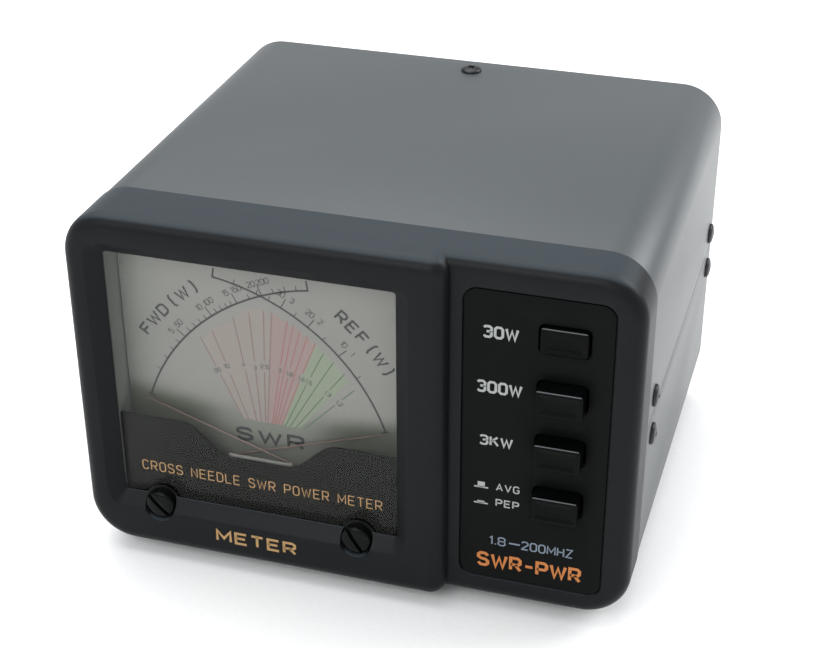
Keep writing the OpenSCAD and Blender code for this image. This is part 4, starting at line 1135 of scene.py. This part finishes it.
def needle(side, blade_y):
    """A needle at zero, drawn along its own ray."""
    dx, dz = needle_ray(side, 0)
    px, pz = DIAL_X + side * PIVOT_DX, PIVOT_Z
    stations = [(-10, 0.6), (-2, 0.8), (0, 0.8), (9, 0.34), (30, 0.26), (57, 0.18), (60.6, 0.08)]
    rings = []
    for along, half in stations:
        ring = []
        for across, lift in ((-half, 0.22), (0, 0.0), (half, 0.22), (half, 0.3), (0, 0.12), (-half, 0.3)):
            ring.append(at(px + along * dx - across * dz, blade_y + lift, pz + along * dz + across * dx))
        rings.append(ring)
    blade = skin(rings)
    pivot = at(px, 0, pz)
    weight = Vector((-8.6 * dx * MM, 0, -8.6 * dz * MM))
    hub = stand(turned([(0.5, 8.3), (0.5, 9.2), (0.96, 9.22), (0.96, 9.8), (1.5, 10.0), (1.6, 10.1),
                        (1.6, 11.5), (1.5, 11.6), (0.5, 11.62), (0.5, 14.6)], 32), pivot, (0, 1, 0))
    disc = stand(turned([(2.7, 10.1), (2.9, 10.3), (2.9, 11.3), (2.7, 11.5)], 32), pivot + weight, (0, 1, 0))
    return together(blade, hub, disc)


for name, side, blade_y in (("fwd", 1, 10.2), ("ref", -1, 11.1)):
    piece(name + "_pointer", needle(side, blade_y), needle_paint, name + "_movement",
          [name + "_needle"])

# %% [markdown]
# ## Zero screws
# Two black plastic screws, one for each needle, turn the hairspring's anchor and so set the needle
# on zero. The head is domed with a wide slot, its edges broken, and a collar keeps it in.


# %% Zero screws
def zero_screw(side):
    place = at(DIAL_X + side * ZERO_X, 0, ZERO_Z)
    profile = [(5.2, -4.4), (5.2, -3.5), (4.2, -3.45), (4.25, -1.25), (4.12, -0.95), (3.8, -0.68),
               (3.1, -0.45), (2.0, -0.32), (0.6, -0.3)]
    head = turned(profile, 64)
    slot = bmesh.new()
    bmesh.ops.create_cube(slot, size=1)
    bmesh.ops.scale(slot, verts=slot.verts, vec=(12, 1.2, 2.4))
    bmesh.ops.translate(slot, verts=slot.verts, vec=(0, 0, -0.3))
    head = cut(head, slot)
    softened(head, 0.12 / MM, 50)
    shaft = turned([(2, -7.7), (2, -4.3)], 32)
    pin = turned([(0.7, -8.9), (0.7, -7.6)], 24)
    inward = Vector((-side * 6.3, 9.9, 0)).normalized() * 1.5
    for v in pin.verts:
        v.co += inward
    whole = together(shaft, pin)
    upright = Matrix.Translation(place) @ Matrix.Rotation(math.radians(90), 4, "X") @ Matrix.Scale(MM, 4)
    slot_turn = -58 if side > 0 else -45
    whole.transform(upright)
    head.transform(upright @ Matrix.Rotation(math.radians(slot_turn), 4, "Z"))
    return together(head, whole)


for name, side in (("fwd", 1), ("ref", -1)):
    piece(name + "_zero_head", zero_screw(side), screw_black, name + "_adjuster",
          [name + "_zero_screw"])

# %% [markdown]
# ## Covers
# Two bent steel sheets wrap the case and meet at a seam half way up the sides. A sheet is one ring
# of the case outline, cut at the seam, with its edges broken by a quarter of a millimetre. The seam
# stays open by a hair, and the screw holes go through the sheet.

# %% Cover sheets
COVER_IN, SHEET = 0.3, 1.2
COVER_FRONT, SEAM_Z = BEZEL_BACK + 0.2, size_of("upper_cover")[0].z
SEAM_LOW = size_of("lower_cover")[1].z


def cover_sheet(upper):
    """Half of the case's ring of sheet steel, as a bent strip from one seam to the other."""
    ring = outline(-HALF_W + COVER_IN, HALF_W - COVER_IN, COVER_IN, CASE_H - COVER_IN,
                   CORNER_R - COVER_IN, steps=16)
    inside = outline(-HALF_W + COVER_IN + SHEET, HALF_W - COVER_IN - SHEET, COVER_IN + SHEET,
                     CASE_H - COVER_IN - SHEET, CORNER_R - COVER_IN - SHEET, steps=16)
    if upper:
        keep = [i for i, (x, z) in enumerate(ring) if z > 60]
        start, end = (HALF_W - COVER_IN, SEAM_Z), (-HALF_W + COVER_IN, SEAM_Z)
    else:
        keep = [i for i, (x, z) in enumerate(ring) if z < 40]
        keep = keep[len(keep) // 2:] + keep[:len(keep) // 2]
        start, end = (-HALF_W + COVER_IN, SEAM_LOW), (HALF_W - COVER_IN, SEAM_LOW)
    outer = [start] + [ring[i] for i in keep] + [end]
    inner = [(start[0] * (1 - SHEET / abs(start[0])), start[1])] + [inside[i] for i in keep] + [
        (end[0] * (1 - SHEET / abs(end[0])), end[1])]
    loop = outer + inner[::-1]
    sheet = skin([[at(x, y, z) for x, z in loop] for y in (COVER_FRONT, CASE_BACK)])
    return softened(sheet, 0.25, 60, 3)


screws_at = []
for side in (-1, 1):
    for y in (29.5, 128.5):
        for z in (57.5, 45.5):
            screws_at.append((Vector((side * (HALF_W - COVER_IN), y, z)), (side, 0, 0)))
screws_at.append((Vector((0, 127, CASE_H - COVER_IN)), (0, 0, 1)))
screws_at.append((Vector((0, 127, COVER_IN)), (0, 0, -1)))
for name, upper in (("upper_cover", True), ("lower_cover", False)):
    holes = [stand(turned([(1.7, -6), (1.7, 6)]), at(*place), direction) for place, direction in screws_at
             if (place.z > 52) == upper]
    if not upper:
        holes += [stand(turned([(1.7, -6), (1.7, 6)]), at(x, y, 1), (0, 0, 1))
                  for x in (-60, 60) for y in (29, 121)]
    piece(name + "_sheet", cut(cover_sheet(upper), *holes), cover_paint, replaces=[name])

# %% [markdown]
# ## Screws
# Every screw has a domed head with a cross recess. The recess is cut by two tapered bars, so its
# arms narrow towards the bottom. A second, low kind with a flat rim holds the covers.


# %% Screw heads
def cross_screw(profile, top, arm, turn, length):
    """A screw along Z with its bearing face at zero; the shank is sunk below."""
    head = turned(profile, 40)
    arms = []
    for quarter in (0, 90):
        bar = bmesh.new()
        bmesh.ops.create_cube(bar, size=1)
        for v in bar.verts:
            share = 1.0 if v.co.z > 0 else 0.55
            height = top + (0.5 if v.co.z > 0 else -0.85)
            v.co = Vector((v.co.x * 2 * arm * share, v.co.y * 0.85 * share, height))
        bar.transform(Matrix.Rotation(math.radians(turn + quarter), 4, "Z"))
        arms.append(bar)
    head = cut(head, cut(arms[0], arms[1], join=True))
    shank = turned([(1.2, -length), (1.2, 0.05)], 20)
    return together(head, shank)


PAN = [(1.3, 0), (2.42, 0), (2.5, 0.1), (2.5, 0.75), (2.36, 1.15), (2.0, 1.5), (1.4, 1.72), (0.5, 1.8)]
WIDE = [(1.3, 0), (3.0, 0), (3.1, 0.1), (3.1, 0.55), (2.95, 0.75), (2.4, 1.06), (1.5, 1.26), (0.4, 1.3)]


def screws(name, places, profile, top, arm, length, finish):
    """One piece with a screw at each (place, direction); their recesses stop at different angles."""
    turns = random.Random(len(places))
    heads = []
    for place, direction in places:
        screw = cross_screw(profile, top, arm, turns.uniform(0, 90), length)
        heads.append(stand(screw, at(*place), direction))
    return piece(name, together(*heads), finish, replaces=[name.replace("_heads", "")], sharp=40)


screws("cover_screws_heads", screws_at, WIDE, 1.3, 1.6, 5, black_plate)
PANEL_OUT = size_of("rear_panel")[1].y
inner_places = [(x, 23.8, z) for x in (-71.9, 71.9) for z in (20, 54)]
inner_places += [(DIAL_X + x, 12, z) for x in (-33.5, 33.5) for z in (6.4, 98)]
inner_places += [(BUTTON_X, 23.2, z) for z in (24, 95.5)]
inner_places += [(x, PANEL_OUT, z) for x in (-71, 71) for z in (20, 54)]
case_screws = [(place, (0, 1, 0)) for place in inner_places]
case_screws += [((x, y, 10.6), (0, 0, 1)) for x in (-55, 55) for y in (58, 88)]
case_screws += [((x, y, -0.4), (0, 0, -1)) for x in (-60, 60) for y in (29, 121)]
screws("case_screws_heads", case_screws, PAN, 1.8, 1.35, 5, zinc)

# %% [markdown]
# ## The rear
# The rear panel is a painted plate set back inside the covers. Two coaxial connectors stand on
# square plated flanges. Their barrels are threaded: the radius ripples with height and shifts by
# one pitch per turn, which is exactly what a thread is.

# %% Rear panel
panel_low, panel_high = size_of("rear_panel")
TAB = panel_low.x + HALF_W
PITCH, CONNECTOR_Z = 22.0, 58.0
JACK_X, JACK_Z = 52.0, 26.0
SIDES = (-1, 1)
HOLE_DX = 9.13
PANEL_T, FLANGE_T, FLANGE_HALF = 1.6, 1.6, 12.7
connector_holes = [(x * PITCH + dx, CONNECTOR_Z + dz) for x in SIDES
                   for dx in (-HOLE_DX, HOLE_DX) for dz in (-HOLE_DX, HOLE_DX)]
corner_holes = [(x, z) for x in (-71, 71) for z in (20, 54)]


def bore(x, z, radius, low=-4, high=4, segments=48):
    """Cutter for a round hole in the rear, from low to high about the panel's outer face."""
    return stand(turned([(radius, low), (radius, high)], segments), at(x, PANEL_OUT, z), (0, 1, 0))


panel = slab((panel_low.x, panel_high.x, panel_low.z, panel_high.z, CORNER_R - TAB),
             PANEL_OUT - PANEL_T, PANEL_OUT, 0.15)
openings = [bore(x, z, 1.6, segments=24) for x, z in connector_holes]
openings += [bore(x * PITCH, CONNECTOR_Z, 7.1) for x in SIDES]
openings += [bore(JACK_X, JACK_Z, 4.1)]
openings += [bore(x, z, 1.7, segments=24) for x, z in corner_holes]
tabs = [box(-8, 8, PANEL_OUT - 12.6, PANEL_OUT - 1.5, z, z + 1.4) for z in (panel_low.z, panel_high.z - 1.4)]
panel = together(cut(panel, *openings), *tabs)
piece("rear_plate", panel, panel_paint, replaces=["rear_panel"])

rear_words = bmesh.new()
for words, x, z, height in (("TX", -PITCH, 76, 3.6), ("ANT", PITCH, 76, 3.6), ("DC IN", JACK_X, 14.5, 2.6)):
    write(rear_words, words, x, z, height, PANEL_OUT + 0.05, 0.17, 1.1, mirror=True)
piece("rear_words", rear_words, print_white)

# %% Coaxial connectors
def thread(turn, height, radius):
    """A 24-per-inch thread on the outside of the barrel only."""
    if radius < 7.5 or not 1.9 < height < 14.2:
        return 0.0
    phase = (height / 1.058 + turn / (2 * math.pi)) % 1.0
    return -0.42 * abs(2 * phase - 1)


def connector(x):
    flange = slab((x - FLANGE_HALF, x + FLANGE_HALF, CONNECTOR_Z - FLANGE_HALF,
                   CONNECTOR_Z + FLANGE_HALF, 1.2), PANEL_OUT, PANEL_OUT + FLANGE_T, 0.2, 0.35)
    flange = cut(flange, *[bore(x + dx, CONNECTOR_Z + dz, 1.6, -2, 4, 24)
                           for dx in (-HOLE_DX, HOLE_DX) for dz in (-HOLE_DX, HOLE_DX)],
                 bore(x, CONNECTOR_Z, 7.0, -2, 4))
    rise = [1.6 + 12.2 * i / 88 for i in range(89)]
    outside = [(7.94, height) for height in rise]
    profile = [(5.56, -3.6), (7.0, -3.6), (7.0, 1.55)] + outside + [
        (7.6, 14.35), (7.3, 14.6), (6.3, 14.6), (6.05, 14.35), (6.05, 6.6), (5.56, 6.6)]
    barrel = turned(profile, 72, thread)
    barrel.faces.ensure_lookup_table()
    rim = [f for f in barrel.faces if len(f.verts) == 72]
    edges = [[e for e in f.edges] for f in rim]
    bmesh.ops.delete(barrel, geom=rim, context="FACES_ONLY")
    bmesh.ops.bridge_loops(barrel, edges=edges[0] + edges[1])
    return together(flange, stand(barrel, at(x, PANEL_OUT, CONNECTOR_Z), (0, 1, 0)))


for name, x in (("tx", -PITCH), ("ant", PITCH)):
    piece(name + "_shell", connector(x), nickel,
          replaces=[name + "_connector"], sharp=50)
    tube = turned([(2.95, -5.6), (5.3, -5.6), (5.5, -5.4), (5.5, 6.35), (5.3, 6.6), (3.1, 6.6),
                   (2.95, 6.45)], 64)
    ends = [f for f in tube.faces if len(f.verts) == 64]
    loops = [e for f in ends for e in f.edges]
    bmesh.ops.delete(tube, geom=ends, context="FACES_ONLY")
    bmesh.ops.bridge_loops(tube, edges=loops)
    piece(name + "_ptfe", stand(tube, at(x, PANEL_OUT, CONNECTOR_Z), (0, 1, 0)), ptfe_white,
          replaces=[name + "_insulator"])
    pin = turned([(1.6, -13), (1.6, -5.6), (2.9, -5.6), (2.9, 6.3), (2.7, 6.6), (2.15, 6.6), (2.0, 6.4),
                  (2.0, -5.2), (0.3, -5.4)], 48)
    slits = []
    for quarter in (0, 90):
        slit = bmesh.new()
        bmesh.ops.create_cube(slit, size=1)
        bmesh.ops.scale(slit, verts=slit.verts, vec=(8, 0.5, 8))
        bmesh.ops.translate(slit, verts=slit.verts, vec=(0, 0, 6.8))
        slit.transform(Matrix.Rotation(math.radians(quarter + 45), 4, "Z"))
        slits.append(slit)
    pin = cut(pin, *slits)
    piece(name + "_centre", stand(pin, at(x, PANEL_OUT, CONNECTOR_Z), (0, 1, 0)), gold,
          replaces=[name + "_contact"])

flange_places = [((x, PANEL_OUT + FLANGE_T, z), (0, 1, 0)) for x, z in connector_holes]
screws("connector_screws_heads", flange_places, PAN, 1.8, 1.35, 7, nickel)

# %% [markdown]
# ## Power socket and feet
# The power socket is a black bush with a nickel-bright pin and a knurled ring. The feet are plain
# rubber cones with a recess for their screw.

# %% Power socket
def knurl(turn, height, radius):
    """Fine ribs round the ring, which is the widest part outside the panel."""
    return 0.12 * math.cos(turn * 32) - 0.12 if radius > 5.2 and height > -0.1 else 0


bush = turned([(5.6, -13.6), (5.6, -1.6), (4.0, -1.6), (4.0, 0.0), (5.25, 0.0), (5.4, 0.15), (5.4, 1.45),
               (5.2, 1.6), (4.0, 1.6), (4.0, 2.8), (3.8, 3.0), (3.05, 3.0), (2.9, 2.85), (2.9, -7.0),
               (0.3, -7.0)], 64, knurl)
jack_pin = turned([(1.05, -7.2), (1.05, 1.7), (0.8, 1.95), (0.3, 2.0)], 32)
piece("power_bush", stand(bush, at(JACK_X, PANEL_OUT, JACK_Z), (0, 1, 0)), chip_black,
      replaces=["dc_jack"])
piece("power_pin", stand(jack_pin, at(JACK_X, PANEL_OUT, JACK_Z), (0, 1, 0)), nickel)

# %% Feet
foot_low, foot_high = size_of("feet")
foot = []
for x in (-60, 60):
    for y in (29, 121):
        cone = turned([(1.7, foot_high.z), (6.9, foot_high.z), (7.0, foot_high.z - 0.2),
                       (6.35, foot_low.z + 0.5), (6.1, foot_low.z + 0.12), (5.7, foot_low.z),
                       (3.5, foot_low.z), (3.2, foot_low.z + 0.3), (3.2, -0.45), (1.7, -0.45)], 56)
        ends = [f for f in cone.faces if len(f.verts) == 56]
        loops = [e for f in ends for e in f.edges]
        bmesh.ops.delete(cone, geom=ends, context="FACES_ONLY")
        bmesh.ops.bridge_loops(cone, edges=loops)
        foot.append(stand(cone, at(x, y, 0), (0, 0, 1)))
piece("foot_cones", together(*foot), foot_rubber, replaces=["feet"])

# %% [markdown]
# ## Return springs
# Each spring sits between its cap and the switch strip and takes its length from the engineering model.
# It is wound from round wire: a small circle swept along a helix, closed at its ends.


# %% Springs behind the buttons
def coil(start, end, middle_x, middle_z, turns=5, mean=3.45, wire=0.3):
    rings = []
    steps = turns * 20
    for i in range(steps + 1):
        t = i / steps
        angle = 2 * math.pi * turns * t
        ease = t - math.sin(2 * math.pi * t) / (2 * math.pi) * 0.12
        y = start + wire + (end - start - 2 * wire) * ease
        ring = []
        for k in range(8):
            around = 2 * math.pi * k / 8
            r = mean + wire * math.cos(around)
            ring.append(at(middle_x + r * math.cos(angle), y + wire * math.sin(around),
                           middle_z + r * math.sin(angle)))
        rings.append(ring)
    return skin(rings)


for k, name in enumerate(("30w", "300w", "3kw", "avg_pep")):
    low, high = size_of("spring_" + name)
    spring = piece("coil_" + name, coil(low.y, high.y, BUTTON_X, BUTTON_Z[k]), spring_steel,
                   replaces=["spring_" + name])
    if k:
        at(BUTTON_X, high.y, BUTTON_Z[k])
        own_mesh(spring)

# %% [markdown]
# ## Floor and light
# The case stands on a plain white sweep. A large softbox overhead gives the covers their broad
# sheen, and a weak one in front lifts the dial. Two more brighten the paper beside the case, which
# the side of the case reflects at a low angle, and in front of it. None of this belongs to the object.

# %% Floor
floor_white = Finish("floor_paper", tone(236, 236, 236), 0.6)
fibre = floor_white.mottle(1.5, 4.0)
floor_white.set({"Base Color": floor_white.blend(fibre, tone(232, 232, 232), tone(240, 240, 240))})
floor_mesh = bpy.data.meshes.new("floor")
far = 12.0
floor_mesh.from_pydata([(-far, -far, 0), (far, -far, 0), (far, far, 0), (-far, far, 0)], [], [(0, 1, 2, 3)])
floor_mesh.materials.append(floor_white.material)
floor = bpy.data.objects.new("floor", floor_mesh)
bpy.context.scene.collection.objects.link(floor)
floor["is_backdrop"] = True

# %% Lights
bpy.context.scene.view_settings.view_transform = "Standard"
world = bpy.data.worlds.new("studio")
bpy.context.scene.world = world
world.use_nodes = True
world.node_tree.nodes["Background"].inputs["Color"].default_value = (0.93, 0.95, 0.97, 1)
world.node_tree.nodes["Background"].inputs["Strength"].default_value = 0.85


def softbox(name, place, target, width, height, power):
    """A rectangular area light aimed at a point."""
    data = bpy.data.lights.new(name, "AREA")
    data.shape, data.size, data.size_y, data.energy = "RECTANGLE", width, height, power
    light = bpy.data.objects.new(name, data)
    light.location = place
    light.rotation_euler = (Vector(target) - Vector(place)).to_track_quat("-Z", "Y").to_euler()
    bpy.context.scene.collection.objects.link(light)
    light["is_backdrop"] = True
    return light


softbox("overhead", (-0.25, 0.15, 1.1), (0, 0, 0.05), 1.2, 1.0, 12)
softbox("front", (-0.5, -0.9, 0.8), (0, -0.05, 0.05), 0.9, 0.7, 2.4)
softbox("floor_glow", (0.65, 0.4, 0.55), (0.16, 0.05, 0), 0.5, 0.5, 6)
softbox("floor_front", (-0.1, -0.75, 0.6), (0, -0.35, 0), 0.5, 0.4, 2.6)

# %% [markdown]
# ## Sizes
# The sizes of both boxes, the engineering model's and the finished piece's, are printed in millimetres.
# The finished piece must stay inside the engineering model's box.

# %% Write both boxes and finish
visual_box = [list(corner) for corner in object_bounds()]
for name, corners in (("cad", cad_box), ("visual", visual_box)):
    print(name, [round(1000 * (b - a), 2) for a, b in zip(*corners)])
